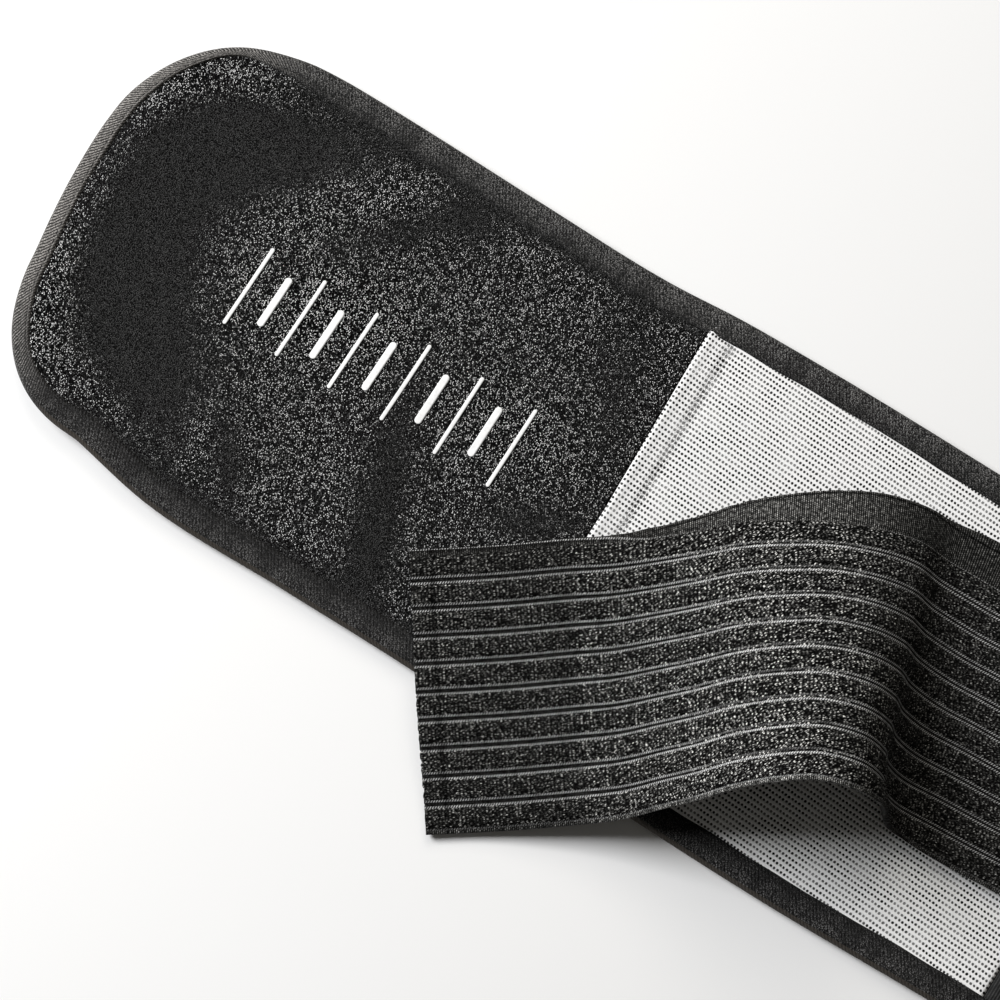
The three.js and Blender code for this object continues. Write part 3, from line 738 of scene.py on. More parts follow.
# Cover panels
velourPanel = {
    "step": 0.92, "columns": 166, "inset": 3.0, "thickness": 1.0, "pile": 0.1, "cutShare": 0.95,
    "loft": {"loop_panel_left": 5.9, "loop_panel_right": 5.6},
    "uneven": {"loop_panel_left": (0.12, 34, 8), "loop_panel_right": (0.1, 40, 4)},
    "pucker": (0.07, 11, 5), "puckerAt": (11.5, 3.5),  # beside the tape: inset and spread
    "dentsFrom": (9.0, 18.0),
    "dents": [  # along, side, length, breadth, turn, rise
        (94, 42, 62, 24, 47, 1.8), (110, 27, 58, 22, 47, -0.7), (133, -37, 74, 26, -65, 1.8),
        (152, -30, 62, 24, -65, -0.6), (86, -50, 38, 20, -52, 1.2), (168, 42, 78, 30, -50, 1.1)],
    "paintedShadingMiddle": 0.62,
    "paintedShading": [  # along, side, length, breadth, turn, and how much painted light (plus) or painted shade (minus) lies on the pile there
        (45, 42, 92, 36, 38, -0.75), (30, 5, 60, 38, 90, -0.55), (48, -32, 84, 40, -45, -0.7),
        (78, 40, 62, 18, 43, 0.25), (96, 8, 60, 34, 15, 0.35), (97, 39, 60, 11, 46, -0.35),
        (115, 58, 24, 18, 0, -0.4), (140, -30, 86, 17, -71, -0.45), (149, -58, 30, 18, -80, -0.3),
        (162, 5, 46, 26, 15, 0.2), (184, 38, 62, 16, -65, -0.28), (185, -16, 36, 14, 28, -0.4),
        (95, -52, 28, 9, -58, -0.4), (81, -50, 26, 8, -60, 0.2)],
    "paintedShadingUneven": (0.05, 17, 9),
    "paintedShadingRim": (4.0, 7.5, 0.38, 20),  # painted highlight on the pile beside the left end's tape, where the rolled rim faces the light: place, spread, strength, reach
    "dim": (8.5, 15.0, 0.8),  # painted shade on the pile up to these insets along the edges, by this share
}
paintedShadingRange = (0.02, 1.0)
seamPiece = {"lean": (-2.3, 64.0), "leanMost": 1.15, "spread": 14.0, "lap": (0.75, 5.0)}


def leanSeam(u, side, seam):
    # the seam of the left wing leans towards its upper end, and the cloth on both sides goes with it
    amount, full = seamPiece["lean"]
    return u + amount * np.clip(side / full, 0, seamPiece["leanMost"]) * bell(u - seam, seamPiece["spread"])


def velourHeight(u, side, node="loop_panel_left"):
    # cover of a wing without its pile; the left wing has soft ridges, hollows and puckers beside the tape
    height = coverTop(u, side, velourPanel["loft"][node]) + ripple(u, side, velourPanel["uneven"][node])
    if node == "loop_panel_right":
        return height
    inset = edgeInset(u, side)
    at, spread = velourPanel["puckerAt"]
    dents = smoothStep(inset, *velourPanel["dentsFrom"]) * softSpots(velourPanel["dents"], u, side)
    return height + dents + ripple(u, side, velourPanel["pucker"]) * bell(inset - at, spread)


def leftPaintedShading(u, side):
    # painted light and shade on the left wing's pile: soft spots where its slopes face the light or turn from
    # it, a painted highlight on the rim beside the end's tape, painted shade along the edges
    middle, spread, strength, reach = velourPanel["paintedShadingRim"]
    start, full, share = velourPanel["dim"]
    paintedShading = velourPanel["paintedShadingMiddle"] + softSpots(velourPanel["paintedShading"], u, side)
    paintedShading = paintedShading + ripple(u, side, velourPanel["paintedShadingUneven"])
    paintedShading = paintedShading + strength * bell(fromTape(u, side) - middle, spread) * endShare(u - reach)
    return paintedShading * (1 - share * (1 - endShare(u)) * (1 - smoothStep(edgeInset(u, side), start, full)))


def makeVelour(node, name, marked):
    # the cover of a wing with its pile, a seeded jitter in height, over a face one thickness lower
    start, end = nodeSpan(node)
    coarser = 1 if marked else 2
    span = (0, end) if marked else (start, belt["length"])
    step, columns = velourPanel["step"] * coarser, velourPanel["columns"] // coarser
    u, side = planGrid(*span, step, columns, velourPanel["inset"])
    height = velourHeight(u, side, node)
    pile = velourPanel["pile"] * np.random.default_rng(11).uniform(-1, 1, u.shape)
    paintedShading = leftPaintedShading(u, side) if marked else np.full(u.shape, velourPanel["paintedShadingMiddle"])
    leaned = leanSeam(u, side, end) if marked else u
    top = toFrame(leaned, side, height + pile)
    bottom = toFrame(leaned, side, height - velourPanel["thickness"])
    piece = thickSheet(name, top, bottom, {"paintedShading": np.clip(paintedShading, *paintedShadingRange)})
    seat(piece, velourBlack, "velour", node)
    width, length = belt["flatWidth"], (end - start) / 1000
    area = velourPanel["cutShare"] * width * length
    return piece


coverPanel = {"loft": 5.6, "thickness": 0.9, "inset": 3.0, "step": 1.2, "columns": 116,
              "uneven": (0.1, 45, 6),
              "sewn": (211.0, 1.5, 0.25, 0.85),  # sewn line from each end: place, spread, depth, how grey
              "foldRadius": 0.3}


def makeCover(node, name, material, slot, fine):
    # a flat cover between two seams; its cut ends are turned down and it rests a little uneven
    start, end = nodeSpan(node)
    coarser = 1 if fine else 2
    step, columns = coverPanel["step"] * coarser, coverPanel["columns"] // coarser
    u, side = planGrid(start, end, step, columns, coverPanel["inset"])
    radius = coverPanel["foldRadius"]
    near = np.minimum(u - start, end - u)
    turnedDown = radius * (1 - np.sqrt(np.clip(1 - (1 - near / radius).clip(0, 1) ** 2, 0, 1)))
    at, spread, depth, seamGreyed = coverPanel["sewn"]
    sewn = bell(fromEnd(u) - at, spread)
    seamAt = nodeSpan("loop_panel_left")[1]
    lap, lapWidth = seamPiece["lap"]
    height = coverTop(u, side, coverPanel["loft"]) + ripple(u, side, coverPanel["uneven"]) - depth * sewn
    height = height - turnedDown + lap * (1 - smoothStep(fromEnd(u) - seamAt, 0, lapWidth))
    bottom = height - coverPanel["thickness"] + turnedDown
    u = leanSeam(u, side, seamAt)
    piece = thickSheet(name, toFrame(u, side, height), toFrame(u, side, bottom), {"sewnLine": seamGreyed * sewn})
    seat(piece, material, slot, node)
    (end - start) / 1000
    return piece


velourLeft = makeVelour("loop_panel_left", "velour_left", True)
velourRight = makeVelour("loop_panel_right", "velour_right", False)
meshLeft = makeCover("mesh_panel_left", "mesh_left", meshWhite, "mesh", True)
meshRight = makeCover("mesh_panel_right", "mesh_right", meshWhite, "mesh", False)
backPanel = makeCover("back_panel", "back", backBlack, "back", False)
print("covers made")

# Folded edge tape and its stitches
tapePiece = {
    "top": 5.65,
    "wall": 0.9,
    "crown": 0.12,
    "taper": (0.6, 0.7),  # how much the inner edge thins, and over what width
    "groove": (7.0, 0.4, 0.12),  # inset, half width and depth of the sewn line
    "bead": (8.2, 0.6, 0.2),  # inset, half width and rise of the woven edge
    "step": 1.25,
    "lightWay": (-0.99, 0.12),  # painted sheen lightens the tape where it turns this way
    "paintedSheenPower": 1.25,
    "pull": (0.16, 4.1, 23.0, 0.1, 9.7),  # waves of the inner edge: amount, two lengths; amount, length
    "pulledFrom": 3,  # inset
    "wave": (0.06, 5.3),  # waves of the top: amount, length
    "wavedFrom": 4,  # height
    "flatWidth": 0.0245,
    "stitch": {"pitch": 3.1, "length": 2.3, "radius": 0.17, "rings": 5, "sides": 6, "above": 0.1,
               "blunt": 1.04, "dip": 0.9},  # how full the ends stay, and how far they dip in radii
}


def runLength(line):
    # length along a line of points up to each of them
    return np.concatenate([[0], np.cumsum(np.linalg.norm(np.diff(line, axis=0), axis=1))])


def rimPath(step):
    # the belt's edge as one closed line, arcs at the corners and the outline between: gives the places,
    # the ways out and the length up to each place
    length, cornerEnd = belt["length"], belt["cornerEnd"]
    arcLength, endLength = 76, 57  # about, for the number of points
    station = np.arange(cornerEnd + step, length - cornerEnd, step)
    upper, lower = longEdges(station)
    arcs = [np.stack(arc, axis=1) for arc in cornerArcs(0.0, int(arcLength / step))]
    share = np.linspace(0, 1, int(endLength / step))[1:-1, None]
    endEdge = arcs[1][:1] * (1 - share) + arcs[0][:1] * share
    mirror, shift = np.array([-1.0, 1.0]), np.array([length, 0.0])
    path = np.vstack([
        arcs[0], np.stack([station, upper], axis=1), arcs[0][::-1] * mirror + shift,
        endEdge[::-1] * mirror + shift, arcs[1] * mirror + shift,
        np.stack([station[::-1], -lower[::-1]], axis=1), arcs[1][::-1], endEdge])
    ahead = np.roll(path, -1, axis=0) - np.roll(path, 1, axis=0)
    ahead = ahead / np.linalg.norm(ahead, axis=1, keepdims=True)
    return path, np.stack([-ahead[:, 1], ahead[:, 0]], axis=1), runLength(path)


def tapeSection():
    # inset and height round the tape: over the top, round the edge as a half ellipse, back below, then inside
    width, radius = belt["tapeWidth"], belt["tapeRound"]
    top, wall = tapePiece["top"], tapePiece["wall"]
    over = np.linspace(width, radius, 24)
    angle = np.linspace(math.pi / 2, -math.pi / 2, 15)[1:-1]
    grooveAt, grooveHalf, grooveDepth = tapePiece["groove"]
    beadAt, beadHalf, beadRise = tapePiece["bead"]
    thin, thinWidth = tapePiece["taper"]
    crown = beadRise * bell(over - beadAt, beadHalf) - thin * np.exp(-(width - over) / thinWidth)
    crown = crown - grooveDepth * bell(over - grooveAt, grooveHalf)
    crown = crown + tapePiece["crown"] * np.sin(math.pi * (over - radius) / (width - radius))
    return np.vstack([
        np.stack([over, top + crown], axis=1),
        np.stack([radius - radius * np.cos(angle), top / 2 + top / 2 * np.sin(angle)], axis=1),
        np.stack([over[::-3], np.zeros(len(over[::-3]))], axis=1),
        [[width, wall], [wall, wall], [wall, top - wall], [width, top - wall]]])


def makeTape():
    # the section carried round the edge; slow waves along it pull its inner edge and lift its top a little
    path, outward, run = rimPath(tapePiece["step"])
    section = tapeSection()
    beats, short, long, sway, swayLength = tapePiece["pull"]
    pull = beats * np.sin(run / short) * np.sin(run / long) + sway * np.sin(run / swayLength)
    inset = tapeInset(section[None, :, 0], path[:, :1], path[:, 1:])
    inset = inset + pull[:, None] * (section[None, :, 0] > tapePiece["pulledFrom"])
    u, side = np.moveaxis(path[:, None, :] - outward[:, None, :] * inset[..., None], -1, 0)
    wave, waveLength = tapePiece["wave"]
    waved = wave * np.sin(run / waveLength)[:, None] * (section[:, 1] > tapePiece["wavedFrom"])
    points = toFrame(u, side, section[None, :, 1] + (curlLift(u, side) + waved))
    cloth = np.stack(np.broadcast_arrays(run[:, None] / 1000, runLength(section)[None, :] / 1000), axis=-1)
    # masks of a painted sheen where the edge turns to the light, and of painted shade along the lower edge
    masks = {"paintedSheen": np.clip(outward @ np.array(tapePiece["lightWay"]), 0, 1) ** tapePiece["paintedSheenPower"],
             "shaded": np.clip(-outward[:, 1], 0, 1)}
    masks = {key: np.repeat(values, len(section)) for key, values in masks.items()}
    faces = gridFaces(len(path), len(section), wrapRows=True, wrapColumns=True)
    around = (run[-1] + np.linalg.norm(path[0] - path[-1])) / 1000
    tape = makePiece("tape", points.reshape(-1, 3), faces, cloth.reshape(-1, 2), masks, wrap=around)
    seat(tape, tapeBlack, "binding", "edge_binding")


def stitchMesh(centre, ahead, stitch):
    # each stitch is a thread that dips at both ends: rings of a circle carried along a flat arch
    rings, sides, radius = stitch["rings"], stitch["sides"], stitch["radius"]
    s = np.linspace(-1, 1, rings)
    turn = np.linspace(0, 2 * math.pi, sides, endpoint=False)
    thick = radius * np.sqrt(np.clip(stitch["blunt"] - s**2, 0, 1))
    normal = np.broadcast_to(np.array([0.0, 0.0, 1.0]), ahead.shape)
    cross = np.cross(normal, ahead)
    spine = centre[:, None, :] + ahead[:, None, :] * (s * stitch["length"] / 2)[None, :, None]
    spine = spine - normal[:, None, :] * (radius * stitch["dip"] * s**4)[None, :, None]
    ringWay = (cross[:, None, None, :] * np.cos(turn)[None, None, :, None]
               + normal[:, None, None, :] * np.sin(turn)[None, None, :, None])
    points = spine[:, :, None, :] + ringWay * thick[None, :, None, None]
    block = rings * sides
    number = (np.arange(len(centre)) * block)[:, None, None]
    ends = np.array([np.arange(sides)[::-1], np.arange(sides) + block - sides])
    faces = (gridFaces(rings, sides, wrapColumns=True)[None] + number).reshape(-1, 4)
    return points.reshape(-1, 3), faces, (ends[None] + number).reshape(-1, sides)


def makeTapeStitches():
    # stitches at one pitch along the sewn groove, each pointing along the edge and up its slope
    path, outward, run = rimPath(1.0)
    stitch = tapePiece["stitch"]
    grooveAt, _, grooveDepth = tapePiece["groove"]
    at = np.arange(stitch["pitch"] / 2, run[-1], stitch["pitch"])
    sewn = path - outward * tapeInset(grooveAt, path[:, :1], path[:, 1:])
    u, side = (np.interp(at, run, sewn[:, n]) for n in (0, 1))
    wayX, wayY = (np.interp(at, run, outward[:, n]) for n in (0, 1))
    norm = np.hypot(wayX, wayY)
    aheadX, aheadY, lift = wayY / norm, -wayX / norm, curlLift(u, side)
    ahead = np.stack([aheadX, aheadY, curlLift(u + aheadX, side + aheadY) - lift], axis=1)
    centre = np.stack([u, side, tapePiece["top"] - grooveDepth + stitch["above"] + lift], axis=1)
    points, faces, caps = stitchMesh(centre, ahead, stitch)
    seat(makePiece("tape_stitches", spotsToFrame(points), faces, caps=caps), threadBlack, "binding")


makeTape()
makeTapeStitches()
print("tape made")

# Fit marks printed on the velour
markPiece = {"lift": 0.3, "thickness": 0.25, "rows": 60, "columns": 7, "crown": 0.06}


def makeMark(node):
    # a strip with round ends: its half width is that of a circle near each end; it follows the velour
    low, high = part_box(node)
    centreU = (low.x + high.x) * 500 + belt["length"] / 2
    centreS = ((low.y + high.y) / 2 - middleLine) * 1000
    radius, length = (high.x - low.x) * 500, (high.y - low.y) * 1000
    s = np.sin(np.linspace(-1, 1, markPiece["rows"]) * math.pi / 2) * length / 2
    over = np.clip(np.abs(s) - (length / 2 - radius), 0, radius * 0.995)
    lane = np.linspace(-1, 1, markPiece["columns"])[None, :]
    u = centreU + np.sqrt(radius**2 - over**2)[:, None] * lane
    side = np.broadcast_to((centreS + s)[:, None], u.shape)
    top = velourHeight(u, side) + markPiece["lift"]
    piece = thickSheet(node.replace("fit_mark", "mark"),
                       toFrame(u, side, top + markPiece["crown"] * (1 - lane**4)),
                       toFrame(u, side, top - markPiece["thickness"]))
    return seat(piece, printWhite, "print", node)


marks = [makeMark(node) for node in sorted(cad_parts) if node.startswith("fit_mark")]
print("marks made:", len(marks))

# Tension straps
strapPiece = {
    "length": 310.0,
    "thickness": 1.5,
    "ribs": 10,
    "selvedge": 13.0,
    "foldLength": 2.4,
    "lowerOpen": 0.1,
    "lowerFold": 1.4,
    "selvedgeThin": (1.5, 0.45),  # over this width the cloth thins to this half thickness
    "sag": 6.3,
    "sagOver": (2.0, 40.0),  # distances beyond the belt's lower edge
    "sagShift": (0.35, 1.0),  # how far the sagging cloth is drawn along and across
    "tuckFrom": 27.0,
    "tuckWidth": 18.0,
    "tuckMost": 1.25,
    "pitch": 8.8,
    "puff": (0.85, 0.6, 0.95, 2.0),  # rise, share below the middle, start and full rise beside a rib
    "fuzz": (0.16, 1.2, 2.0),  # height, and where it starts and is full beside a rib
    "cord": (0.25, 0.72, 0.3),  # rise, place and spread of the threads beside a rib
    "ragged": (0.6, 1.5),  # cut end: how uneven, and over what length
    "hem": 7.0,
    "crossSeam": 52.0,
    "seam": (1.1, 0.55, 0.12),  # spread of a sewn line, how much it flattens the ribs, its depth
    "glow": (2.0, 3.0, 2.0, 0.12),  # more painted light on the pile past a seam: how far, two spreads, amount
    "pairHalf": ((0, 52, 80), (0.95, 0.92, 0.68)),  # along, and half the distance between two threads
    "flatPaintedShading": 0.45,
    "paintedShadingUneven": (0.25, 20, 31),
    "paintedShading": [  # along, painted light and shade on the pile where it rises to the light or falls from it, and on the upper selvedge
        (0, 0.26, 0.02), (47, 0.22, 0.05), (50, 0.22, 0.05), (52.5, 0.4, 0.1), (60, 0.38, 0.2),
        (75, 0.52, 0.45), (105, 0.85, 0.85), (132, 0.9, 0.85), (147, 0.55, 0.6), (160, 0.26, 0.34),
        (190, 0.22, 0.32), (310, 0.25, 0.32)],
    # columns of the next two: along, from, side, lift, turn, roll, wide, open, fold, tuck
    "thrownBack": [
        (0, 184.5, -82, 9.2, 35.5, -1, 87.5, 0.1, 180, 0),
        (28, 207.5, -65.5, 9, 35.5, -1, 87.5, 0.1, 180, 0),
        (49, 224, -53, 9.9, 35.5, 1, 88, 0.4, 180, 0),
        (63, 235, -45, 12.6, 34.5, 4.5, 88, 0.7, 180, 0),
        (77, 245, -36.5, 17.5, 32.5, 9, 88, 1.9, 180, 0),
        (91, 254, -29, 24.3, 30, 12.5, 89, 3.5, 180, 0),
        (105, 263, -21, 31.5, 27.5, 16, 90, 5.7, 180, 0),
        (119, 273, -14, 37.4, 25.5, 20, 91, 8.3, 180, 0),
        (133, 284.5, -7, 40.2, 24.5, 22, 91.5, 10.4, 180, 0),
        (147, 297, -2, 37.4, 23.5, 20, 91.5, 11.6, 180, 0.3),
        (161, 307, 0.5, 28.4, 19, 15, 91, 10.8, 150, 2),
        (175, 313.5, 0.5, 17.6, 13, 10, 89, 10.3, 60, 3.5),
        (189, 324.5, 1, 10.6, 6.5, 3, 86.5, 10, 12, 2.5),
        (203, 337.5, 2, 9, 4.5, 0.5, 85, 9.7, 6, 0.5),
        (217, 351.5, 2.5, 8.6, 4.5, 0, 84, 9, 6, 0),
        (231, 365.5, 3, 8.6, 4, 0, 83, 9, 6, 0),
        (310, 446, 4.5, 8.6, 2, 0, 83, 9, 6, 0)],
    "laidFlat": [
        (0, 136, 2, 8.6, 0, 0, 87.5, 0.5, 180, 0),
        (60, 196, 2, 8.6, 0, 0, 87.5, 0.8, 180, 0),
        (190, 326, 2, 8.6, 0, 0, 85, 8.6, 180, 0),
        (310, 446, 2, 8.6, 0, 0, 83, 9, 180, 0)],
}


def strapLine(rows, mirrored, along, across):
    # the strap's middle line from the table, shifted across by the section's turn and roll; the tuck draws in
    # the lower edge, by the square of the distance from its start; past the belt's edge the cloth sags
    columns = np.moveaxis(smoothRows(rows, along), -1, 0)
    start, side, lift, turn, roll, tuck = columns[[0, 1, 2, 3, 4, 8]]
    turn, roll = np.radians(turn), np.radians(roll)
    level = across * np.cos(roll)
    beyond = (across - strapPiece["tuckFrom"]) / strapPiece["tuckWidth"]
    drawn = tuck * np.clip(beyond, 0, strapPiece["tuckMost"]) ** 2
    u = start + level * np.sin(turn) + drawn
    side = side - level * np.cos(turn) + drawn
    sag = smoothStep(-side - longEdges(u)[1], *strapPiece["sagOver"])
    u, side = (place + shift * sag for place, shift in zip((u, side), strapPiece["sagShift"]))
    u = belt["length"] - u if mirrored else u
    return np.stack([u, side, lift + across * np.sin(roll) - strapPiece["sag"] * sag], axis=-1)


def strapPlace(rows, mirrored, along, across, height):
    # a point on the strap's line, raised along the cloth's normal, which is square to its two slopes
    nudge, last = 0.5, strapPiece["length"]

    def line(further, wider):
        at = np.clip(along + further, 0, last) if further else along
        return strapLine(rows, mirrored, at, across + wider)

    normal = np.cross(line(0, nudge) - line(0, -nudge), line(nudge, 0) - line(-nudge, 0))
    normal = normal * (-1 if mirrored else 1)
    normal = normal / np.linalg.norm(normal, axis=-1, keepdims=True)
    return line(0, 0) + normal * height[..., None]


def foldCurve(beyond, unfolded, fold, length):
    # a selvedge lies flat for a stretch, bends evenly through the fold's angle over a length, then goes on
    # straight
    bend = np.radians(np.maximum(fold, 0.6))  # never quite flat, because the reach divides by it
    turn = bend * np.clip((beyond - unfolded) / length, 0, 1)
    rest = np.maximum(beyond - unfolded - length, 0)
    reach = np.minimum(beyond, unfolded) + length * np.sin(turn) / bend + rest * np.cos(bend)
    drop = length * (1 - np.cos(turn)) / bend + rest * np.sin(bend)
    return reach, drop, turn


def strapColumns():
    # places across the cloth from tip to tip: whole ribs in the middle, millimetres in the selvedges
    beat = np.array([0, 0.42, 0.72, 1.02, 1.5, 2.2, 2.95, 3.7, 4.4, 5.1, 5.85, 6.6, 7.3, 7.78, 8.08, 8.38])
    middle = np.concatenate([beat / strapPiece["pitch"] + rib for rib in range(-5, 5)] + [[5.0]])
    selvedge = np.array([0.3, 0.8, 1.6, 2.6, 3.6, 4.6, 5.6, 6.6, 7.6, 8.6, 9.4, 10.2, 11.0, 11.8, 12.4, 13.0])
    return middle, selvedge


def capFaces(outerLine, innerLine, count):
    # zips the outer and the inner face of an end together, in the order of their places along the cloth
    steps = np.concatenate([outerLine[1:], innerLine[1:]])
    fromOuter = np.argsort(steps, kind="stable") < len(outerLine) - 1
    i = np.concatenate([[0], np.cumsum(fromOuter)])[:-1]
    innerNumber = count - 1 - np.concatenate([[0], np.cumsum(~fromOuter)])[:-1]
    return np.stack([i, np.where(fromOuter, i + 1, innerNumber - 1), innerNumber], axis=1)


def strapPaintedShading(along, lengthAt, across, line, mirrored):
    # painted light and shade on the pile: from the table along the thrown-back strap, uneven, with more
    # painted light past a sewn line
    light = smoothRows(strapPiece["paintedShading"], lengthAt)
    paintedShading = np.where(line[None, :] < -5, light[..., 1], light[..., 0])
    paintedShading = np.full(lengthAt.shape, strapPiece["flatPaintedShading"]) if mirrored else paintedShading
    past, crossSpread, hemSpread, amount = strapPiece["glow"]
    seams = (strapPiece["crossSeam"], crossSpread), (strapPiece["hem"], hemSpread)
    glow = sum(bell(along - at - past, spread) for at, spread in seams)
    paintedShading = paintedShading * (1 + ripple(lengthAt, across, strapPiece["paintedShadingUneven"])) + amount * glow * (line[None, :] > -5)
    return np.clip(paintedShading, *paintedShadingRange)


def makeStrap(name, rows, mirrored, step, node):
    # outer face with ribs and fuzz, plain inner face, joined round the tips and closed at both ends
    rng = np.random.default_rng(21)
    middle, selvedge = strapColumns()
    along = np.linspace(0, strapPiece["length"], int(strapPiece["length"] / step) + 1)[:, None]
    wide, unfolded, fold = np.moveaxis(smoothRows(rows, along), -1, 0)[5:8]
    pitch = wide / strapPiece["ribs"]
    thick = strapPiece["thickness"] / 2
    seamSpread, seamFlat, seamDepth = strapPiece["seam"]

    def ribRelief(ribs):
        # ribs puff up between the threads, the threads stand as cords, and the sewn lines press both down
        offMm = np.abs((ribs + 0.5) % 1 - 0.5)[None, :] * pitch
        rise, below, *puffFrom = strapPiece["puff"]
        height, *fuzzFrom = strapPiece["fuzz"]
        cordRise, cordAt, cordSpread = strapPiece["cord"]
        puff = rise * (smoothStep(offMm, *puffFrom) - below)
        cord = cordRise * bell(offMm - cordAt, cordSpread)
        fuzz = height * rng.uniform(-1, 1, (len(along), len(ribs))) * smoothStep(offMm, *fuzzFrom)
        seams = sum(bell(along - at, seamSpread) for at in (strapPiece["hem"], strapPiece["crossSeam"]))
        return (puff + cord + fuzz) * (1 - seamFlat * seams) - seamDepth * seams

    def faceAt(ribs, beyondUpper, beyondLower, way):
        # across, height and cloth line of one face: way 1 is the outer face, -1 the inner one
        relief = ribRelief(ribs)
        body = (ribs[None, :] * pitch, thick + relief if way > 0 else np.full(relief.shape, -thick))
        parts = []
        lowerOpen = np.full(unfolded.shape, strapPiece["lowerOpen"])
        for beyond, sideWay, opened, folded, length in (
                (beyondUpper, -1, unfolded, fold, strapPiece["foldLength"]),
                (beyondLower, 1, lowerOpen, 180.0, strapPiece["lowerFold"])):
            reach, drop, turn = foldCurve(beyond[None, :], opened, folded, length)
            thinWidth, thin = strapPiece["selvedgeThin"]
            off = way * (thick + (thin - thick) * smoothStep(beyond[None, :], 0, thinWidth))
            parts.append((sideWay * (wide / 2 + reach + off * np.sin(turn)), off * np.cos(turn) - drop))
        across, height = (np.hstack([parts[0][n], body[n], parts[1][n]]) for n in (0, 1))
        flat = strapPiece["pitch"]
        return across, height, np.concatenate([-5 - beyondUpper / flat, ribs, 5 + beyondLower / flat])

    outer = faceAt(middle, selvedge[::-1], selvedge[::2], 1)
    inner = faceAt(middle[::8], selvedge[::-2], selvedge[::3], -1)
    across, height = (np.hstack([outer[n], inner[n][:, ::-1]]) for n in (0, 1))
    line = np.concatenate([outer[2], inner[2][::-1]])
    uneven, over = strapPiece["ragged"]
    ragged = uneven * rng.uniform(-1, 1, len(line))[None, :] * np.exp(-along / over)
    lengthAt = np.clip(np.broadcast_to(along, across.shape) + ragged, 0, strapPiece["length"])
    points = spotsToFrame(strapPlace(rows, mirrored, lengthAt, across, height))
    faces = gridFaces(len(along), len(line), wrapColumns=True)
    caps = capFaces(outer[2], inner[2], len(line))
    caps = np.vstack([caps[:, ::-1], caps + (len(along) - 1) * len(line)])
    cloth = np.stack(np.broadcast_arrays(line[None, :], lengthAt / 1000), axis=-1)
    everywhere = np.zeros(lengthAt.shape)
    masks = {"paintedShading": strapPaintedShading(along, lengthAt, across, line, mirrored),
             "sewn": bell(along - strapPiece["hem"], seamSpread) + everywhere,
             "fold": unfolded + everywhere,
             "pair": np.interp(lengthAt, *strapPiece["pairHalf"])}
    piece = makePiece(name, points.reshape(-1, 3), faces, cloth.reshape(-1, 2), masks, caps)
    seat(piece, strapBlack, "strap", node)


strapBlack = strapFinish(strapPiece["pitch"])
makeStrap("strap_thrown_back", strapPiece["thrownBack"], False, 0.9, "strap_left")
makeStrap("strap_flat", strapPiece["laidFlat"], True, 1.6, "strap_right")
print("straps made")

# Hook patches
hookPiece = {"start": 5.0, "end": 49.0, "width": 66.0, "base": 0.5, "reach": 1.2, "pitch": 1.7, "gap": 0.3,
             "stem": (0.16, 0.45), "lean": 0.5,  # half width of a hook, how much it tapers and leans
             "rooted": 0.1, "first": 0.7,  # how far inside the tape a hook starts; the first one, in pitches
             "edge": (0.15, 1.2), "closing": (0.4, 1.0, 1.0)}  # closing patch: base, reach, height of its top


def hookShape():
    # one hook in its own small frame: a square stem that leans over, four rings of four points
    t = np.linspace(0, 1, 4)
    turn = np.linspace(0, 2 * math.pi, 4, endpoint=False) + math.pi / 4
    half, taper = hookPiece["stem"]
    thick = half * (1 - taper * t)[:, None]
    x = hookPiece["lean"] * t[:, None] ** 3 + thick * np.cos(turn)
    return x.ravel(), (thick * np.sin(turn)).ravel(), np.repeat(t, 4)


def makeHooks(name, node, place, length, width, base, reach):
    # a base tape with rows of hooks under it; place maps along, across and depth to the belt
    rows, columns = int(length / hookPiece["pitch"]), int(width / hookPiece["pitch"])
    along, across = np.meshgrid(np.linspace(0, length, rows * 2), np.linspace(-width / 2, width / 2, columns),
                                indexing="ij")
    edge = np.minimum(np.minimum(along, length - along), width / 2 - np.abs(across))
    rounding, roundWidth = hookPiece["edge"]
    roundOff = rounding * (1 - smoothStep(edge, 0, roundWidth))
    top, bottom = place(along, across, roundOff), place(along, across, base - roundOff)
    hookX, hookY, hookT = hookShape()
    atS, atT = np.meshgrid(
        (np.arange(rows - 1) + hookPiece["first"]) * length / rows,
        (np.arange(columns - 1) + hookPiece["first"]) * width / columns - width / 2, indexing="ij")
    way = np.where(np.arange(columns - 1) % 2 == 0, 1.0, -1.0)[None, :, None]
    hookAlong = atS[..., None] + way * hookX
    hookAcross = atT[..., None] + hookY
    root = base - hookPiece["rooted"]
    hookDepth = np.broadcast_to(root + (reach - root) * hookT, hookAlong.shape)
    tips = place(hookAlong.ravel(), hookAcross.ravel(), hookDepth.ravel())
    stem = np.vstack([gridFaces(4, 4, wrapColumns=True), [[3, 2, 1, 0]], [[12, 13, 14, 15]]])
    number = np.arange(atS.size)[:, None, None] * 16 + 2 * along.size
    faces = np.vstack([sheetFaces(*along.shape), (stem + number).reshape(-1, 4)])
    points = np.vstack([top.reshape(-1, 3), bottom.reshape(-1, 3), tips])
    seat(makePiece(name, points, faces), hookBlack, "hook", node)


def underStrap(rows, mirrored):
    # places of a patch under a strap: down from its under face along the cloth's normal
    def place(along, across, depth):
        height = -strapPiece["thickness"] / 2 - hookPiece["gap"] - depth
        return spotsToFrame(strapPlace(rows, mirrored, along + hookPiece["start"], across, height))
    return place


closingStart, closingEnd = nodeSpan("closing_hook")
closingBase, closingReach, closingTop = hookPiece["closing"]


def underWing(along, across, depth):
    # places of the closing patch: straight down from its top
    return toFrame(closingStart + along, across, closingTop - depth)


patchSize = (hookPiece["end"] - hookPiece["start"], hookPiece["width"], hookPiece["base"], hookPiece["reach"])
closingSize = (closingEnd - closingStart, (hookHigh.y - hookLow.y) * 1000, closingBase, closingReach)
makeHooks("hooks_thrown_back", "strap_left_hook", underStrap(strapPiece["thrownBack"], False), *patchSize)
makeHooks("hooks_flat", "strap_right_hook", underStrap(strapPiece["laidFlat"], True), *patchSize)
makeHooks("hooks_closing", "closing_hook", underWing, *closingSize)
print("hooks made")

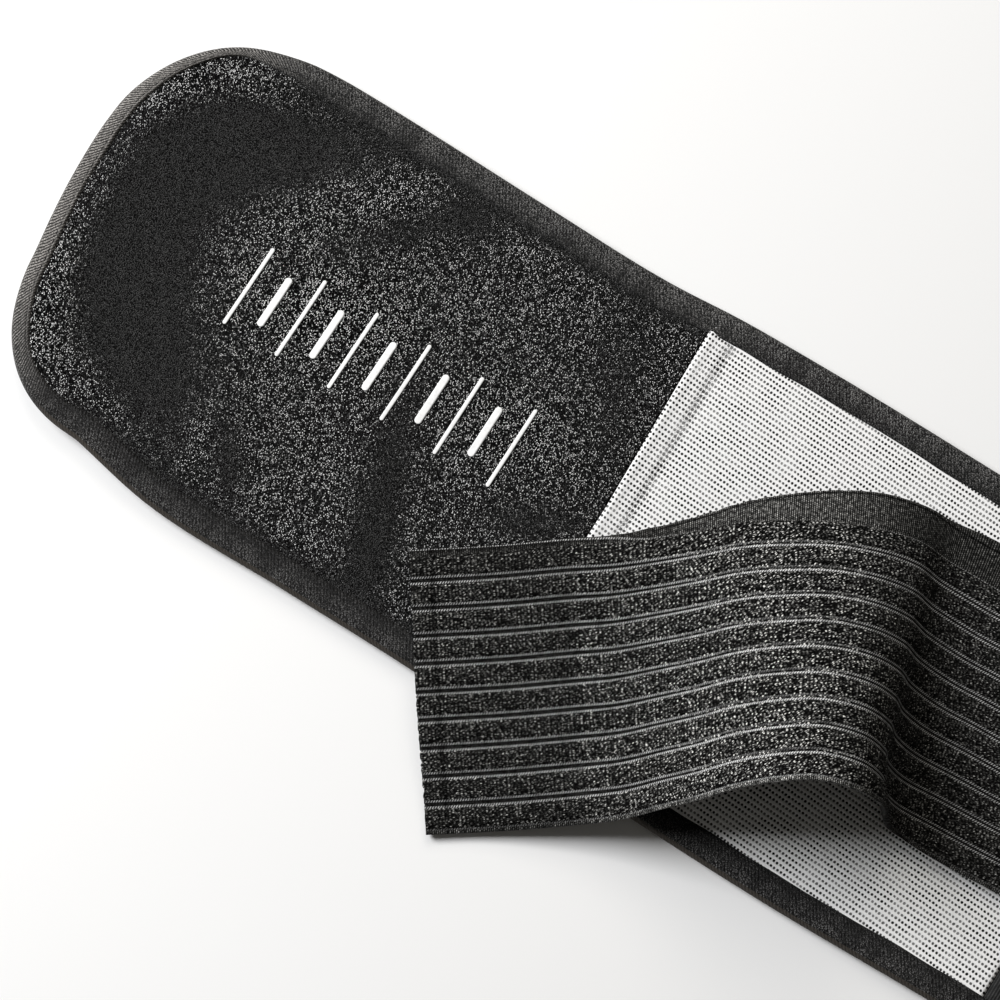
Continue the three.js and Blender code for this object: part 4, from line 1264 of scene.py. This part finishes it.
# Pale floor, soft light and the camera
stageLook = {"floor": 3.0, "floorTone": grey(0.9), "drop": 0.0003, "world": 0.075, "fill": (1.0, 0.96, 0.88),
             "key": {"energy": 34.0, "size": 0.8, "left": 1.05, "up": 0.55, "high": 1.15,
                     "tint": (0.985, 0.99, 1.0)},
             "top": {"energy": 8.0, "size": 1.0, "left": -0.1, "up": 1.1, "high": 1.15,
                     "tint": (1.0, 0.96, 0.88)}}
photo = {"turn": 32.33, "tilt": 12.0, "distance": 0.9, "lens": 102.2, "sensor": 36.0,
         "middle": (173.5, -15.5, 5.0)}  # where the picture's middle falls on the belt
turn, tilt = math.radians(photo["turn"]), math.radians(photo["tilt"])
pictureRight = np.array([math.cos(turn), math.sin(turn), 0.0])
pictureUp = np.array([-math.sin(turn), math.cos(turn), 0.0])
lookAt = toFrame(*(np.array(value) for value in photo["middle"]))


def makeFloor():
    # a square round the origin, a little below the belt
    corner = np.array([[-1, -1, 0], [1, -1, 0], [1, 1, 0], [-1, 1, 0]]) * stageLook["floor"]
    mesh = bpy.data.meshes.new("floor")
    mesh.from_pydata((corner - [0, 0, stageLook["drop"]]).tolist(), [], [[0, 1, 2, 3]])
    material, shader = newFinish("paleFloor", 0.9, 0.1)
    shader["Base Color"].default_value = stageLook["floorTone"]
    mesh.materials.append(material)
    linkObject("floor", mesh)


def aimed(place):
    # a matrix that looks from a place at the picture's middle, with the picture's right on its right
    back = (place - lookAt) / np.linalg.norm(place - lookAt)
    right = pictureRight - back * np.dot(pictureRight, back)
    right = right / np.linalg.norm(right)
    columns = np.stack([right, np.cross(back, right), back, place], axis=1)
    return Matrix(columns.tolist() + [[0, 0, 0, 1]])


def makeLight(name):
    # an area light to the left of the picture's middle, up from it and above it
    look = stageLook[name]
    light = bpy.data.lights.new(name, "AREA")
    light.energy = look["energy"]
    light.size = look["size"]
    light.color = look["tint"]
    place = lookAt - pictureRight * look["left"] + pictureUp * look["up"] + np.array([0, 0, look["high"]])
    linkObject(name, light).matrix_world = aimed(place)


def makeWorld():
    world = bpy.data.worlds.new("studio")
    world.use_nodes = True
    background = world.node_tree.nodes["Background"].inputs
    background["Color"].default_value = (*stageLook["fill"], 1)
    background["Strength"].default_value = stageLook["world"]
    bpy.context.scene.world = world
    bpy.context.scene.view_settings.view_transform = "Standard"


def makeCamera():
    # at a distance from the picture's middle, tilted from straight above
    data = bpy.data.cameras.new("camera")
    data.lens = photo["lens"]
    data.sensor_width = photo["sensor"]
    camera = linkObject("camera", data)
    away = np.array([0, 0, math.cos(tilt)]) - pictureUp * math.sin(tilt)
    camera.matrix_world = aimed(lookAt + photo["distance"] * away)
    bpy.context.scene.camera = camera


makeFloor()
makeLight("key")
makeLight("top")
makeWorld()
makeCamera()
print("stage made")
